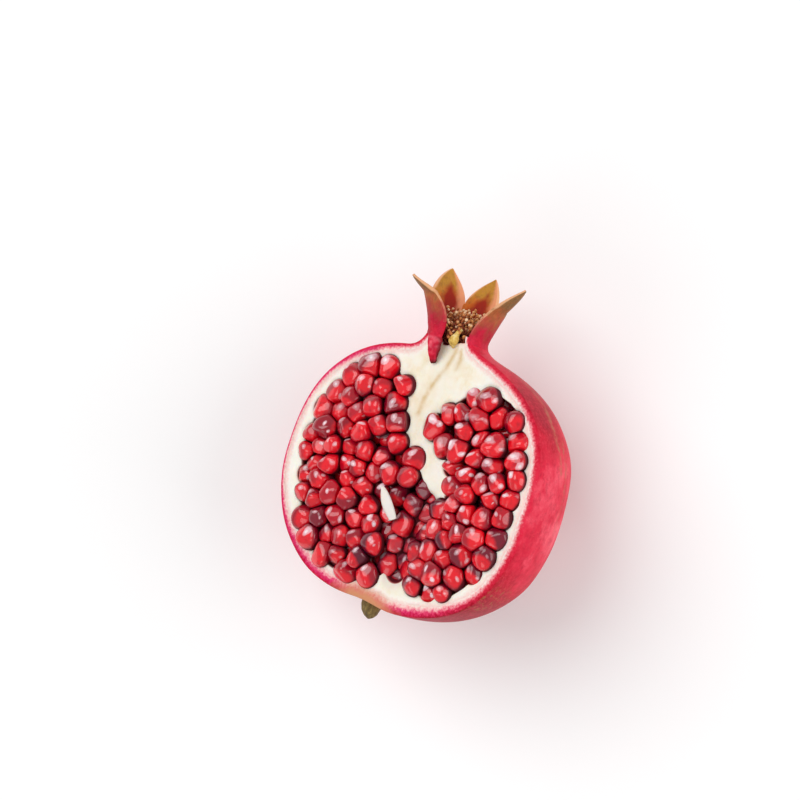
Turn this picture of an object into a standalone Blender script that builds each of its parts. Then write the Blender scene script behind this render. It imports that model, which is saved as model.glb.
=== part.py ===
"""Half of a pomegranate, cut lengthwise beside its core, as a Blender model at real size.

Fruit frame, used by every function below: the origin is the middle of the cut face, +X runs
across the face, +Y runs along the fruit's axis from the stem to the crown, and +Z points out of
the cut face. The core axis lies AXIS_DEPTH behind the face.

World frame: the half lies on one of the fruit's flattened sides. The middle of that flat spot is
the world origin, the crown points to -X, and the cut face tilts towards -Y.
"""

import math
import random

import bmesh
import bpy
import numpy as np
from mathutils import Matrix, Vector

MM = 0.001

# The whole fruit, without its crown
BODY_RADIUS = 46.0 * MM
CROWN_SHOULDER = 41.0 * MM
SHOULDER_SLOPE = 1.7 * MM
STEM_END = 39.8 * MM
SQUARENESS = 2.4
FLAT_SIDES = 6
FLAT_SIDE_DEPTH = 0.013
STEM_DIMPLE_DEPTH = 1.6 * MM
STEM_DIMPLE_RADIUS = 8.0 * MM
AXIS_DEPTH = 5.0 * MM

# How the half lies
FACE_TILT = math.radians(25.0)
REST_FLATTENING = 1.6 * MM
DOWN = Vector((-math.sin(FACE_TILT), 0.0, -math.cos(FACE_TILT)))

# The neck below the crown, which leans to the left of the axis as it rises
NECK_RADIUS = 9.2 * MM
NECK_TOP = 46.0 * MM
NECK_SHIFT = Vector((-2.3 * MM, 0.0, 0.0))
SHOULDER_POLAR_ANGLE = math.radians(17.0)
BODY_SHARE = 0.80

# Layers
RIND_THICKNESS = 1.5 * MM
GAP = 0.3 * MM
PITH_TOP = 44.6 * MM
NECK_OPENING = 4.0 * MM

# Mesh density
AROUND = 40
ALONG = 24
OUTLINE_POINTS = 44

# Outlines of the two seed chambers on the cut face, in mm
LEFT_CHAMBER = (
    (-26, 32), (-16, 32), (-8.5, 25), (-7, 18), (-2, 10), (5.5, 5), (10, -1.5), (7.6, -9.5), (6.3, -18),
    (5.6, -28), (-3, -36), (-18, -34.5), (-31, -28.5), (-36, -18), (-40.5, -6), (-41, 8), (-34.5, 23),
)
RIGHT_CHAMBER = (
    (14, 34), (24, 35), (32.5, 30.5), (36.5, 22), (40.5, 14), (40.5, 2), (40.5, -8), (36.5, -20),
    (29, -29), (19, -32.5), (8, -29.5), (7.3, -18), (8.6, -9.5), (12.6, -3), (14, 2), (9.5, 9), (2, 14),
    (0.5, 19), (6, 27),
)
# The torn membrane between the chambers, below the wedge of pith, in mm on the cut face
CLEFT_TOP = np.array((9.6, -5.0))
CLEFT_BOTTOM = np.array((6.6, -27.0))
CLEFT_WIDTH = 3.2
CLEFT_DEPTH = 7.0 * MM

# Chamber depths in mm, with the share of the outline's size that is left at each
CHAMBER_RINGS = ((0.0, 1.0), (9.0, 0.985), (14.0, 0.88), (18.0, 0.66), (20.5, 0.40), (21.5, 0.18))
CHAMBER_CUT_TOP = 2.0 * MM

# Where the arils, the juicy seeds, sit, in mm
ARIL_SPACING = 6.1
ARIL_FILL = 0.98
ARIL_SIZES = (0.86, 1.12)
ARIL_INSET = 3.6
PACKING_STEPS = 160
PACKING_PUSH = 0.35
ARIL_LEVEL = -1.3
ARIL_CROWNING = 1.9
ARIL_CROWNING_REACH = 9.0
ARIL_UNEVENNESS = 0.8
CLEFT_SINK = 4.2
CLEFT_SINK_REACH = 6.0

# One aril's shape: heights over its centre, with the share of its radius at each
ARIL_RADIUS = 2.95 * MM
ARIL_SIDES = 6
ARIL_LEVELS = ((-0.8 * MM, 0.96), (1.2 * MM, 0.94), (3.0 * MM, 0.45))
ARIL_ROOT_SIZE = 0.5
ARIL_LEAN = 0.10
ARIL_CORE_TOP = 6.5 * MM
ARIL_ROOT_DEPTH = 8.0 * MM
ARIL_CORE_GAP = 0.5 * MM

# The crown: a ring of sepals, in degrees around the neck, where 90 is the cut side and 180 is left
SEPAL_BOUNDS = (106.0, 168.0, 225.0, 285.0, 345.0, 400.0)
# Each sepal's tip, as (distance from the neck's axis, height above the cut face's middle), in mm
SEPAL_TIPS = ((20.3, 59.2), (14.6, 64.0), (14.5, 65.0), (10.5, 59.0), (21.5, 67.0))
CROWN_BOTTOM = NECK_TOP + GAP
CROWN_NOTCH = 55.0 * MM
CROWN_NOTCH_RADIUS = 11.0 * MM
CROWN_WALL = 1.5 * MM
SEPAL_TIP_THICKNESS = 0.8 * MM
# The first sepal was bent outward when the fruit was cut, most at this angle
BENT_ANGLE = math.radians(150.0)
BENT_REACH = math.radians(60.0)
BENT_SPREAD = 3.6 * MM
FLAP_TIP = Vector((-4.6 * MM, 35.2 * MM, 2.2 * MM))
RING_ROWS = 3
SEPAL_ROWS = 6
SEPAL_COLUMNS = 4

# Stamens in the crown's cup
STAMEN_PAD_RADIUS = 4.6 * MM
STAMEN_PAD_BOTTOM = PITH_TOP + GAP
STAMEN_PAD_HEIGHT = 1.4 * MM
STAMEN_PAD_SIDES = 14
STAMEN_COUNT = 36
GOLDEN_ANGLE = math.radians(137.5)
STAMEN_RADIUS = 0.36 * MM
STAMEN_SIDES = 3
STAMEN_REACH = 6.7 * MM
STAMEN_HEIGHTS = (49.5 * MM, 55.5 * MM)
ANTHER_RADIUS = 0.85 * MM
ANTHER_LENGTH = 1.1 * MM

# The woody stem stub, with the share of its radius along its length
STUB_RADIUS = 2.7 * MM
STUB_LENGTH = 5.2 * MM
STUB_PROFILE = ((0.0, 0.92), (0.25, 1.0), (0.62, 0.86), (0.86, 0.62), (1.0, 0.24))
STUB_LEAN = Vector((0.6 * MM, 0.0, 0.0))
STUB_SIDES = 10


# Small helpers

def clear_scene():
    for obj in list(bpy.data.objects):
        bpy.data.objects.remove(obj)


def material(name, colour, roughness, metallic=0.0):
    made = bpy.data.materials.new(name)
    made.use_nodes = True
    shader = made.node_tree.nodes["Principled BSDF"]
    shader.inputs["Base Color"].default_value = (*colour, 1.0)
    shader.inputs["Roughness"].default_value = roughness
    shader.inputs["Metallic"].default_value = metallic
    return made


def object_from_bmesh(name, bm, finish=None, smooth_angle=50.0):
    bmesh.ops.recalc_face_normals(bm, faces=bm.faces)
    mesh = bpy.data.meshes.new(name)
    bm.to_mesh(mesh)
    bm.free()
    mesh.shade_smooth()
    mesh.set_sharp_from_angle(angle=math.radians(smooth_angle))
    if finish:
        mesh.materials.append(finish)
    obj = bpy.data.objects.new(name, mesh)
    bpy.context.scene.collection.objects.link(obj)
    return obj


def as_cutter(obj):
    obj.hide_render = True
    obj.display_type = "WIRE"
    return obj


def cut(obj, *cutters):
    for cutter in cutters:
        modifier = obj.modifiers.new("cut by " + cutter.name, "BOOLEAN")
        modifier.operation = "DIFFERENCE"
        modifier.solver = "EXACT"
        modifier.object = cutter


def box(name, low, high):
    bm = bmesh.new()
    bmesh.ops.create_cube(bm, size=1.0)
    for vert in bm.verts:
        share = vert.co + Vector((0.5, 0.5, 0.5))
        vert.co = Vector([lo + (hi - lo) * s for lo, hi, s in zip(low, high, share)])
    return as_cutter(object_from_bmesh(name, bm))


def fuse(core, pieces):
    """Joins the pieces to the core in one union and removes their own objects."""
    bunch = bpy.data.collections.new(core.name + " pieces")
    bpy.context.scene.collection.children.link(bunch)
    for piece in pieces:
        bpy.context.scene.collection.objects.unlink(piece)
        bunch.objects.link(piece)
    union = core.modifiers.new("pieces", "BOOLEAN")
    union.operation = "UNION"
    union.operand_type = "COLLECTION"
    union.collection = bunch
    union.solver = "EXACT"
    with bpy.context.temp_override(object=core, active_object=core):
        bpy.ops.object.modifier_apply(modifier=union.name)
    for piece in list(bunch.objects):
        bpy.data.objects.remove(piece)
    bpy.data.collections.remove(bunch)
    return core


def bridge_rows(bm, rows, closed=True):
    """Joins rows of vertices, all of one length, with quads."""
    for lower, upper in zip(rows, rows[1:]):
        count = len(lower)
        for i in range(count if closed else count - 1):
            j = (i + 1) % count
            bm.faces.new((lower[i], lower[j], upper[j], upper[i]))


def around_axis(radius, height, angle):
    """A point at that distance from the fruit's axis, in the fruit frame."""
    return Vector((radius * math.cos(angle), height, radius * math.sin(angle) - AXIS_DEPTH))


def around_neck(radius, height, angle):
    """The same about the neck's own middle."""
    return around_axis(radius, height, angle) + NECK_SHIFT


# The fruit's outer shape

def body_point(angle, polar):
    """The rounded body: polar is 0 at the crown end and pi at the stem."""
    flat_side = math.cos(FLAT_SIDES * (angle - math.atan2(DOWN.z, DOWN.x)))
    radius = BODY_RADIUS * (1.0 - FLAT_SIDE_DEPTH * 0.5 * (1.0 + flat_side))
    shoulder = CROWN_SHOULDER + SHOULDER_SLOPE * math.cos(angle)
    length = shoulder if polar < math.pi / 2 else STEM_END
    out = radius * abs(math.sin(polar)) ** (2.0 / SQUARENESS)
    up = math.copysign(length * abs(math.cos(polar)) ** (2.0 / SQUARENESS), math.cos(polar))
    if polar > math.pi / 2:
        up += STEM_DIMPLE_DEPTH * math.exp(-((out / STEM_DIMPLE_RADIUS) ** 2))
    return out, up


def skin_point(angle, share):
    """The skin from the stem, share 0, up over the shoulder to the neck's rim, share 1."""
    if share <= BODY_SHARE:
        polar = math.pi + (SHOULDER_POLAR_ANGLE - math.pi) * share / BODY_SHARE
        return around_axis(*body_point(angle, polar), angle)
    u = (share - BODY_SHARE) / (1.0 - BODY_SHARE)
    start = Vector(body_point(angle, SHOULDER_POLAR_ANGLE))
    before = Vector(body_point(angle, SHOULDER_POLAR_ANGLE + 0.02))
    end = Vector((NECK_RADIUS, NECK_TOP))
    reach = (end - start).length
    leave = (start - before).normalized() * reach * 1.1
    arrive = Vector((0.0, 1.0)) * reach * 1.2
    point = (
        start * (2 * u**3 - 3 * u**2 + 1)
        + leave * (u**3 - 2 * u**2 + u)
        + end * (3 * u**2 - 2 * u**3)
        + arrive * (u**3 - u**2)
    )
    return around_axis(point.x, point.y, angle) + NECK_SHIFT * (3 * u**2 - 2 * u**3)


def rest_height():
    """How far the flat spot lies from the origin, along DOWN."""
    angle = math.atan2(DOWN.z, DOWN.x)
    return DOWN.dot(around_axis(body_point(angle, math.pi / 2)[0], 0.0, angle)) - REST_FLATTENING


def inset_point(angle, share, inset):
    """A point below the skin by inset, with the flat spot kept parallel to the skin's own."""
    step = 0.004
    point = skin_point(angle, share)
    across = skin_point(angle + step, share) - skin_point(angle - step, share)
    upward = skin_point(angle, min(share + step, 1.0)) - skin_point(angle, share - step)
    point += across.cross(upward).normalized() * inset
    beyond = DOWN.dot(point) - (rest_height() - inset)
    if beyond > 0.0:
        point -= DOWN * beyond
    return point


def fruit_solid(name, inset, neck_extra=0.0):
    """The whole uncut fruit, smaller by inset all round, closed across its neck."""
    bm = bmesh.new()
    stem = bm.verts.new(Vector((0.0, skin_point(0.0, 0.0).y + inset, -AXIS_DEPTH)))
    rows = []
    for j in range(1, ALONG + 1):
        share = j / ALONG
        angles = [2 * math.pi * i / AROUND for i in range(AROUND)]
        rows.append([bm.verts.new(inset_point(angle, share, inset)) for angle in angles])
    if neck_extra:
        rows.append([bm.verts.new(vert.co + Vector((0.0, neck_extra, 0.0))) for vert in rows[-1]])
    bridge_rows(bm, rows)
    for i in range(AROUND):
        bm.faces.new((stem, rows[0][i], rows[0][(i + 1) % AROUND]))
    bm.faces.new(rows[-1])
    bmesh.ops.triangulate(bm, faces=[face for face in bm.faces if len(face.verts) == 4], quad_method="FIXED")
    return object_from_bmesh(name, bm)


# The seed chambers

def smooth_outline(corners, count):
    """A closed Catmull-Rom curve through the corners as evenly stepped points."""
    corners = np.array(corners, dtype=float)
    at = np.arange(count) * len(corners) / count
    index = at.astype(int)
    t = (at - index)[:, None]
    a, b, c, d = (corners[(index + n) % len(corners)] for n in (-1, 0, 1, 2))
    return 0.5 * (2 * b + (c - a) * t + (2 * a - 5 * b + 4 * c - d) * t**2 + (3 * b - 3 * c + d - a) * t**3)


def inside_distance(points, outline):
    """Distances to a closed outline, positive inside it, and the nearest points on it."""
    along = np.roll(outline, -1, axis=0) - outline
    offsets = points[:, None] - outline
    share = np.clip((offsets * along).sum(axis=-1) / (along**2).sum(axis=-1), 0.0, 1.0)
    near = outline + along * share[..., None]
    gaps = np.linalg.norm(points[:, None] - near, axis=-1)
    best = gaps.argmin(axis=1)
    rows = np.arange(len(points))
    above = outline[:, 1] > points[:, None, 1]
    crossed = above != np.roll(above, -1, axis=1)
    level = np.where(along[:, 1] == 0.0, 1.0, along[:, 1])
    left_of = offsets[..., 0] < offsets[..., 1] * along[:, 0] / level
    inside = (crossed & left_of).sum(axis=1) % 2 == 1
    return np.where(inside, 1.0, -1.0) * gaps[rows, best], near[rows, best]


def chamber_solid(name, corners, top, shrink):
    """A bowl below the face with this outline, from the height top down to the last ring."""
    outline = [Vector(point) * MM for point in smooth_outline(corners, OUTLINE_POINTS)]
    middle = sum(outline, Vector((0.0, 0.0))) / len(outline)
    bm = bmesh.new()
    rows = []
    depths = [(top, 1.0)]
    depths += [(-depth * MM, size) for depth, size in CHAMBER_RINGS if -depth * MM < top - 0.5 * MM]
    for height, size in depths:
        row = []
        for i, point in enumerate(outline):
            side = outline[(i + 1) % len(outline)] - outline[i - 1]
            outward = Vector((-side.y, side.x)).normalized()
            place = middle + (point - outward * shrink - middle) * size
            row.append(bm.verts.new((place.x, place.y, height + (shrink if height != top else 0.0))))
        rows.append(row)
    bridge_rows(bm, rows)
    bm.faces.new(rows[0])
    bm.faces.new(rows[-1])
    return object_from_bmesh(name, bm)


# The arils

def packed_places(outline, draw):
    """Places and sizes of a chamber's arils: scattered at random, then pushed apart until they fit."""
    low, high = outline.min(axis=0), outline.max(axis=0)
    ahead = np.roll(outline, -1, axis=0)
    area = 0.5 * abs((outline[:, 0] * ahead[:, 1] - outline[:, 1] * ahead[:, 0]).sum())
    count = round(ARIL_FILL * area / ARIL_SPACING**2)
    places = draw.uniform(low, high, size=(40 * count, 2))
    places = places[inside_distance(places, outline)[0] > ARIL_INSET][:count]
    sizes = draw.uniform(*ARIL_SIZES, size=count)
    wanted = ARIL_SPACING * (sizes[:, None] + sizes) / 2
    for _ in range(PACKING_STEPS):
        apart = places[:, None] - places
        gaps = np.linalg.norm(apart, axis=-1) + np.eye(count) * 1e3
        short = np.maximum(wanted - gaps, 0.0)
        places = places + PACKING_PUSH * (apart / gaps[..., None] * short[..., None]).sum(axis=1)
        distance, near = inside_distance(places, outline)
        inward = (places - near) / np.abs(distance)[:, None] * np.sign(distance)[:, None]
        places = np.where(distance[:, None] < ARIL_INSET, near + inward * ARIL_INSET, places)
    kept = []
    for i in range(count):
        crowded = any(np.linalg.norm(places[i] - places[j]) < 0.78 * wanted[i, j] for j in kept)
        if not crowded and inside_distance(places[i:i + 1], outline)[0][0] > ARIL_INSET - 0.1:
            kept.append(i)
    return places[kept], sizes[kept]


def cleft_distance(places):
    """Distances to the torn membrane between the chambers."""
    along = CLEFT_BOTTOM - CLEFT_TOP
    share = np.clip((places - CLEFT_TOP) @ along / (along @ along), 0.0, 1.0)
    return np.linalg.norm(places - CLEFT_TOP - along * share[:, None], axis=-1)


def aril_centres(corners, seed):
    """Middles and sizes of a chamber's arils: proud of the face inside, lower at the edges."""
    draw = np.random.default_rng(seed)
    outline = smooth_outline(corners, OUTLINE_POINTS)
    places, sizes = packed_places(outline, draw)
    rise = np.minimum(1.0, inside_distance(places, outline)[0] / ARIL_CROWNING_REACH)
    sink = CLEFT_SINK * np.exp(-((cleft_distance(places) / CLEFT_SINK_REACH) ** 2))
    heights = ARIL_LEVEL + ARIL_CROWNING * rise - sink
    heights += draw.uniform(-ARIL_UNEVENNESS, ARIL_UNEVENNESS, size=len(places))
    return np.column_stack((places, heights)), sizes


def aril(name, centre, size, draw):
    """One seed: a blunt six-sided gem, widest at its centre, with a root that narrows."""
    levels = ((-ARIL_ROOT_DEPTH - centre.z, ARIL_ROOT_SIZE), *ARIL_LEVELS)
    turn = draw.uniform(0.0, 2 * math.pi)
    lean = Vector((draw.uniform(-ARIL_LEAN, ARIL_LEAN), draw.uniform(-ARIL_LEAN, ARIL_LEAN)))
    bm = bmesh.new()
    rows = []
    for height, share in levels:
        row = []
        for i in range(ARIL_SIDES):
            angle = turn + 2 * math.pi * i / ARIL_SIDES
            radius = ARIL_RADIUS * size * share
            shift = lean * max(0.0, height)
            place = Vector((radius * math.cos(angle) + shift.x, radius * math.sin(angle) + shift.y, height))
            row.append(bm.verts.new(centre + place))
        rows.append(row)
    bridge_rows(bm, rows)
    bm.faces.new(rows[0])
    bm.faces.new(rows[-1])
    return object_from_bmesh(name, bm)


def aril_bunch(name, corners, seed, finish):
    """A chamber's arils, standing out of the bunch's core."""
    core = chamber_solid(name, corners, -ARIL_CORE_TOP, ARIL_CORE_GAP)
    core.data.materials.append(finish)
    draw = random.Random(seed)
    seeds = []
    for k, (centre, size) in enumerate(zip(*aril_centres(corners, seed))):
        seeds.append(aril(f"{name} {k}", Vector(centre) * MM, size, draw))
    return fuse(core, seeds)


# The crown

def ring_radius(angle, share):
    """The crown ring's radius from its bottom, share 0, to the notches between sepals, share 1."""
    bent = 0.0
    if abs(angle - BENT_ANGLE) < BENT_REACH:
        bent = math.cos((angle - BENT_ANGLE) / BENT_REACH * math.pi / 2) ** 2
    flare = (CROWN_NOTCH_RADIUS - NECK_RADIUS) * share**1.5
    return NECK_RADIUS + flare + BENT_SPREAD * bent * (0.3 + 0.7 * share)


def sepal_line(angle, tip, share):
    """Radius and height up a sepal, from the notch, share 0, to its tip: up first, then outward."""
    start = Vector((ring_radius(angle, 1.0), CROWN_NOTCH))
    end = Vector(tip) * MM
    bend = start + Vector((0.25 * (end.x - start.x), 0.6 * (end.y - start.y)))
    return start * (1 - share) ** 2 + bend * 2 * share * (1 - share) + end * share**2


def sepal_rows(bm, low, high, tip, shared_edge):
    """Rows of vertices for one sector of the ring and its sepal, and how thick the wall is at each."""
    rows = []
    weights = []
    for j in range(RING_ROWS + SEPAL_ROWS + 1):
        row = []
        blade = max(0.0, (j - RING_ROWS) / SEPAL_ROWS)
        for i in range(SEPAL_COLUMNS + 1):
            if shared_edge and i == 0 and j <= RING_ROWS:
                row.append(shared_edge[j])
                continue
            across = 2.0 * i / SEPAL_COLUMNS - 1.0
            angle = (low + high) / 2 + across * (high - low) / 2
            if blade == 0.0:
                up = j / RING_ROWS
                radius = ring_radius(angle, up)
                height = CROWN_BOTTOM + (CROWN_NOTCH - CROWN_BOTTOM) * up
            else:
                radius, height = sepal_line(angle, tip, blade)
                narrowing = (1.0 - 0.94 * blade**1.6) * ring_radius(angle, 1.0) / radius
                angle = (low + high) / 2 + across * (high - low) / 2 * narrowing
            row.append(bm.verts.new(around_neck(radius, height, angle)))
            weights.append(1.0 + (SEPAL_TIP_THICKNESS / CROWN_WALL - 1.0) * blade)
        rows.append(row)
    return rows, weights


def torn_flap(bm, hem):
    """A narrow tongue of skin from the hem of the ring down over the cut face."""
    middle = [bm.verts.new(vert.co.lerp(FLAP_TIP, 0.55)) for vert in hem]
    end = [bm.verts.new(FLAP_TIP.lerp(vert.co, 0.22)) for vert in middle]
    bridge_rows(bm, [end, middle, hem], closed=False)
    return [0.8] * len(middle) + [0.5] * len(end)


def crown_piece(finish):
    """A neck ring, open where it was cut, that splits into pointed sepals."""
    bm = bmesh.new()
    edge = None
    hem = None
    weights = []
    for k, tip in enumerate(SEPAL_TIPS):
        low, high = (math.radians(bound) for bound in SEPAL_BOUNDS[k:k + 2])
        rows, more = sepal_rows(bm, low, high, tip, edge)
        bridge_rows(bm, rows, closed=False)
        weights += more
        edge = [row[-1] for row in rows]
        hem = hem or rows[0][:3]
    weights += torn_flap(bm, hem)
    crown = object_from_bmesh("crown", bm, finish)
    group = crown.vertex_groups.new(name="thickness")
    for index, weight in enumerate(weights):
        group.add([index], weight, "REPLACE")
    wall = crown.modifiers.new("wall", "SOLIDIFY")
    wall.thickness = CROWN_WALL
    wall.offset = -1.0
    wall.vertex_group = group.name
    return crown


# Stamens and stem

def tube_along(bm, points, radii, sides):
    """A closed tapering tube through the points."""
    rows = []
    for k, (point, radius) in enumerate(zip(points, radii)):
        ahead = (points[min(k + 1, len(points) - 1)] - points[max(k - 1, 0)]).normalized()
        across = ahead.cross(Vector((0.3, 0.1, 1.0))).normalized()
        other = ahead.cross(across)
        row = []
        for i in range(sides):
            angle = 2 * math.pi * i / sides
            row.append(bm.verts.new(point + (across * math.cos(angle) + other * math.sin(angle)) * radius))
        rows.append(row)
    bridge_rows(bm, rows)
    bm.faces.new(rows[0])
    bm.faces.new(rows[-1])


def stamen_path(k, draw):
    """Root, middle and end of one filament, fanned out so that no two cross."""
    angle = k * GOLDEN_ANGLE
    out = math.sqrt((k + 0.5) / STAMEN_COUNT)
    root = around_neck(0.82 * STAMEN_PAD_RADIUS * out, STAMEN_PAD_BOTTOM + 0.5 * STAMEN_PAD_HEIGHT, angle)
    reach = STAMEN_REACH * out * draw.uniform(0.85, 1.0)
    end = around_neck(reach, draw.uniform(*STAMEN_HEIGHTS), angle + draw.uniform(-0.2, 0.2))
    middle = root.lerp(end, 0.55) + Vector((draw.uniform(-1, 1), 0.4, draw.uniform(-1, 1))) * 0.4 * MM
    return root, middle, end


def stamens_piece(finish):
    """A bunch of dried stamens that stands out of its own small pad."""
    draw = random.Random(31)
    bm = bmesh.new()
    rows = []
    angles = [2 * math.pi * i / STAMEN_PAD_SIDES for i in range(STAMEN_PAD_SIDES)]
    for height in (0.0, STAMEN_PAD_HEIGHT):
        ring = [around_neck(STAMEN_PAD_RADIUS, STAMEN_PAD_BOTTOM + height, angle) for angle in angles]
        rows.append([bm.verts.new(point) for point in ring])
    bridge_rows(bm, rows)
    bm.faces.new(rows[0])
    bm.faces.new(rows[-1])
    pad = object_from_bmesh("stamens", bm, finish)
    filaments = []
    for k in range(STAMEN_COUNT):
        bm = bmesh.new()
        root, middle, end = stamen_path(k, draw)
        beyond = end + (end - middle).normalized() * ANTHER_LENGTH
        points = (root, middle, end, end.lerp(beyond, 0.5), beyond)
        radii = (STAMEN_RADIUS, STAMEN_RADIUS, STAMEN_RADIUS, ANTHER_RADIUS, STAMEN_RADIUS)
        tube_along(bm, points, radii, STAMEN_SIDES)
        filaments.append(object_from_bmesh(f"filament {k}", bm))
    return fuse(pad, filaments)


def stem_piece(finish):
    """The woody stub where the fruit was cut from its twig."""
    start = Vector((0.0, -STEM_END + STEM_DIMPLE_DEPTH - 2 * GAP, -AXIS_DEPTH))
    along = Vector((0.0, -STUB_LENGTH, 0.0)) + STUB_LEAN
    points = [start + along * share for share, _ in STUB_PROFILE]
    bm = bmesh.new()
    tube_along(bm, points, [STUB_RADIUS * size for _, size in STUB_PROFILE], STUB_SIDES)
    return object_from_bmesh("stem_stub", bm, finish)


# The half fruit

def build():
    clear_scene()
    skin_red = material("skin_red", (0.55, 0.03, 0.06), 0.35)
    pith_cream = material("pith_cream", (0.90, 0.80, 0.62), 0.60)
    aril_red = material("aril_red", (0.50, 0.01, 0.02), 0.12)
    sepal_tan = material("sepal_tan", (0.45, 0.20, 0.06), 0.60)
    stamen_gold = material("stamen_gold", (0.42, 0.25, 0.09), 0.70)
    stem_brown = material("stem_brown", (0.16, 0.11, 0.04), 0.75)

    beyond = 2 * NECK_TOP
    front = box("cut plane", (-beyond, -beyond, 0.0), (beyond, beyond, beyond))
    hollow = as_cutter(fruit_solid("rind hollow", RIND_THICKNESS, NECK_OPENING))

    rind = fruit_solid("rind", 0.0)
    rind.data.materials.append(skin_red)
    cut(rind, hollow, front)

    pith = fruit_solid("pith", RIND_THICKNESS + GAP)
    pith.data.materials.append(pith_cream)
    throat = box("throat", (-beyond, PITH_TOP, -beyond), (beyond, beyond, beyond))
    chambers = [
        as_cutter(chamber_solid(name, corners, CHAMBER_CUT_TOP, 0.0))
        for name, corners in (("left chamber", LEFT_CHAMBER), ("right chamber", RIGHT_CHAMBER))
    ]
    cleft = cleft_cutter()
    cut(pith, front, throat, *chambers, cleft)

    parts = [
        rind,
        pith,
        aril_bunch("arils_left", LEFT_CHAMBER, 5, aril_red),
        aril_bunch("arils_right", RIGHT_CHAMBER, 8, aril_red),
        crown_piece(sepal_tan),
        stamens_piece(stamen_gold),
        stem_piece(stem_brown),
    ]

    lying = bpy.data.objects.new("lying on its flat side", None)
    bpy.context.scene.collection.objects.link(lying)
    across, along, outward = (
        Vector((0.0, math.cos(FACE_TILT), math.sin(FACE_TILT))),
        Vector((-1.0, 0.0, 0.0)),
        Vector((0.0, -math.sin(FACE_TILT), math.cos(FACE_TILT))),
    )
    turn = Matrix((across, along, outward)).transposed()
    core_middle = Vector((0.0, 0.0, -AXIS_DEPTH))
    flat_spot = core_middle + DOWN * (rest_height() - DOWN.dot(core_middle))
    lying.matrix_world = Matrix.Translation(-(turn @ flat_spot)) @ turn.to_4x4()
    for obj in [*parts, front, hollow, throat, cleft, *chambers]:
        obj.parent = lying


def cleft_cutter():
    """Takes the torn membrane between the chambers down below the arils."""
    along = (CLEFT_BOTTOM - CLEFT_TOP) / np.linalg.norm(CLEFT_BOTTOM - CLEFT_TOP)
    side = np.array((along[1], -along[0])) * CLEFT_WIDTH / 2
    corners = (CLEFT_TOP - side, CLEFT_TOP + side, CLEFT_BOTTOM + side, CLEFT_BOTTOM - side)
    bm = bmesh.new()
    rows = []
    for height in (CHAMBER_CUT_TOP, -CLEFT_DEPTH):
        rows.append([bm.verts.new((x * MM, y * MM, height)) for x, y in corners])
    bridge_rows(bm, rows)
    bm.faces.new(rows[0])
    bm.faces.new(rows[-1])
    return as_cutter(object_from_bmesh("cleft", bm))


build()
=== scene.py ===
"""The looks of a pomegranate half that lies on its rounded back, seen from above its cut face.

Shapes are worked out in the fruit frame and turned into the world at the end. In the fruit frame the
origin is the middle of the cut face, +X runs across it, +Y along the fruit's axis from the stem to
the crown, and +Z out of the cut face. Lengths in that frame are in millimetres here.
"""

import math

import bmesh
import bpy
import numpy as np
from mathutils import Matrix, Vector


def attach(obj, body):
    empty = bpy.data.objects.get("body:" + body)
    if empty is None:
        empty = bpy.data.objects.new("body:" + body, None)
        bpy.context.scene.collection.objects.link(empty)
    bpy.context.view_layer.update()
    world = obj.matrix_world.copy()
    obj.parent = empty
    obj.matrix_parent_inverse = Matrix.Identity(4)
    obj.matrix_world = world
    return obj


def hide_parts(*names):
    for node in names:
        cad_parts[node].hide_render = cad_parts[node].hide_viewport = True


MM = 0.001

# The whole fruit, as in the CAD model
BODY_RADIUS = 46.0
CROWN_SHOULDER = 41.0
SHOULDER_SLOPE = 1.7
STEM_END = 39.8
SQUARENESS = 2.4
FLAT_SIDES = 6
FLAT_SIDE_DEPTH = 0.013
STEM_DIMPLE_DEPTH = 1.6
STEM_DIMPLE_RADIUS = 8.0
AXIS_DEPTH = 5.0
FACE_TILT = math.radians(25.0)
REST_FLATTENING = 1.6
DOWN = np.array((-math.sin(FACE_TILT), 0.0, -math.cos(FACE_TILT)))
DOWN_ANGLE = math.atan2(DOWN[2], DOWN[0])
NECK_RADIUS = 9.2
NECK_TOP = 46.0
NECK_SHIFT = np.array((-2.3, 0.0, 0.0))
NECK_LEAVE = 1.1
NECK_ARRIVE = 1.2
SHOULDER_POLAR_ANGLE = math.radians(17.0)
POLAR_STEP = 0.02
BODY_SHARE = 0.80
PITH_TOP = 44.6
UNEVENNESS = 0.3
UNEVENNESS_SIZE = 34.0

# The seed chambers' outlines on the cut face
LEFT_CHAMBER = (
    (-26, 32), (-16, 32), (-8.5, 25), (-7, 18), (-2, 10), (5.5, 5), (10, -1.5), (7.6, -9.5), (6.3, -18),
    (5.6, -28), (-3, -36), (-18, -34.5), (-31, -28.5), (-36, -18), (-40.5, -6), (-41, 8), (-34.5, 23),
)
RIGHT_CHAMBER = (
    (14, 34), (24, 35), (32.5, 30.5), (36.5, 22), (40.5, 14), (40.5, 2), (40.5, -8), (36.5, -20),
    (29, -29), (19, -32.5), (8, -29.5), (7.3, -18), (8.6, -9.5), (12.6, -3), (14, 2), (9.5, 9), (2, 14),
    (0.5, 19), (6, 27),
)
CLEFT_TOP = np.array((9.6, -5.0))
CLEFT_BOTTOM = np.array((6.6, -27.0))
OUTLINE_POINTS = 44

# Arils, spaced and sized as in the CAD model
ARIL_SPACING = 6.1
ARIL_FILL = 0.98
ARIL_SIZES = (0.86, 1.12)
ARIL_INSET = 3.6
PACKING_STEPS = 160
PACKING_PUSH = 0.35
ARIL_LEVEL = -1.3
ARIL_CROWNING = 1.9
ARIL_CROWNING_REACH = 9.0
ARIL_UNEVENNESS = 0.8
CLEFT_SINK = 4.2
CLEFT_SINK_REACH = 6.0

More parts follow.
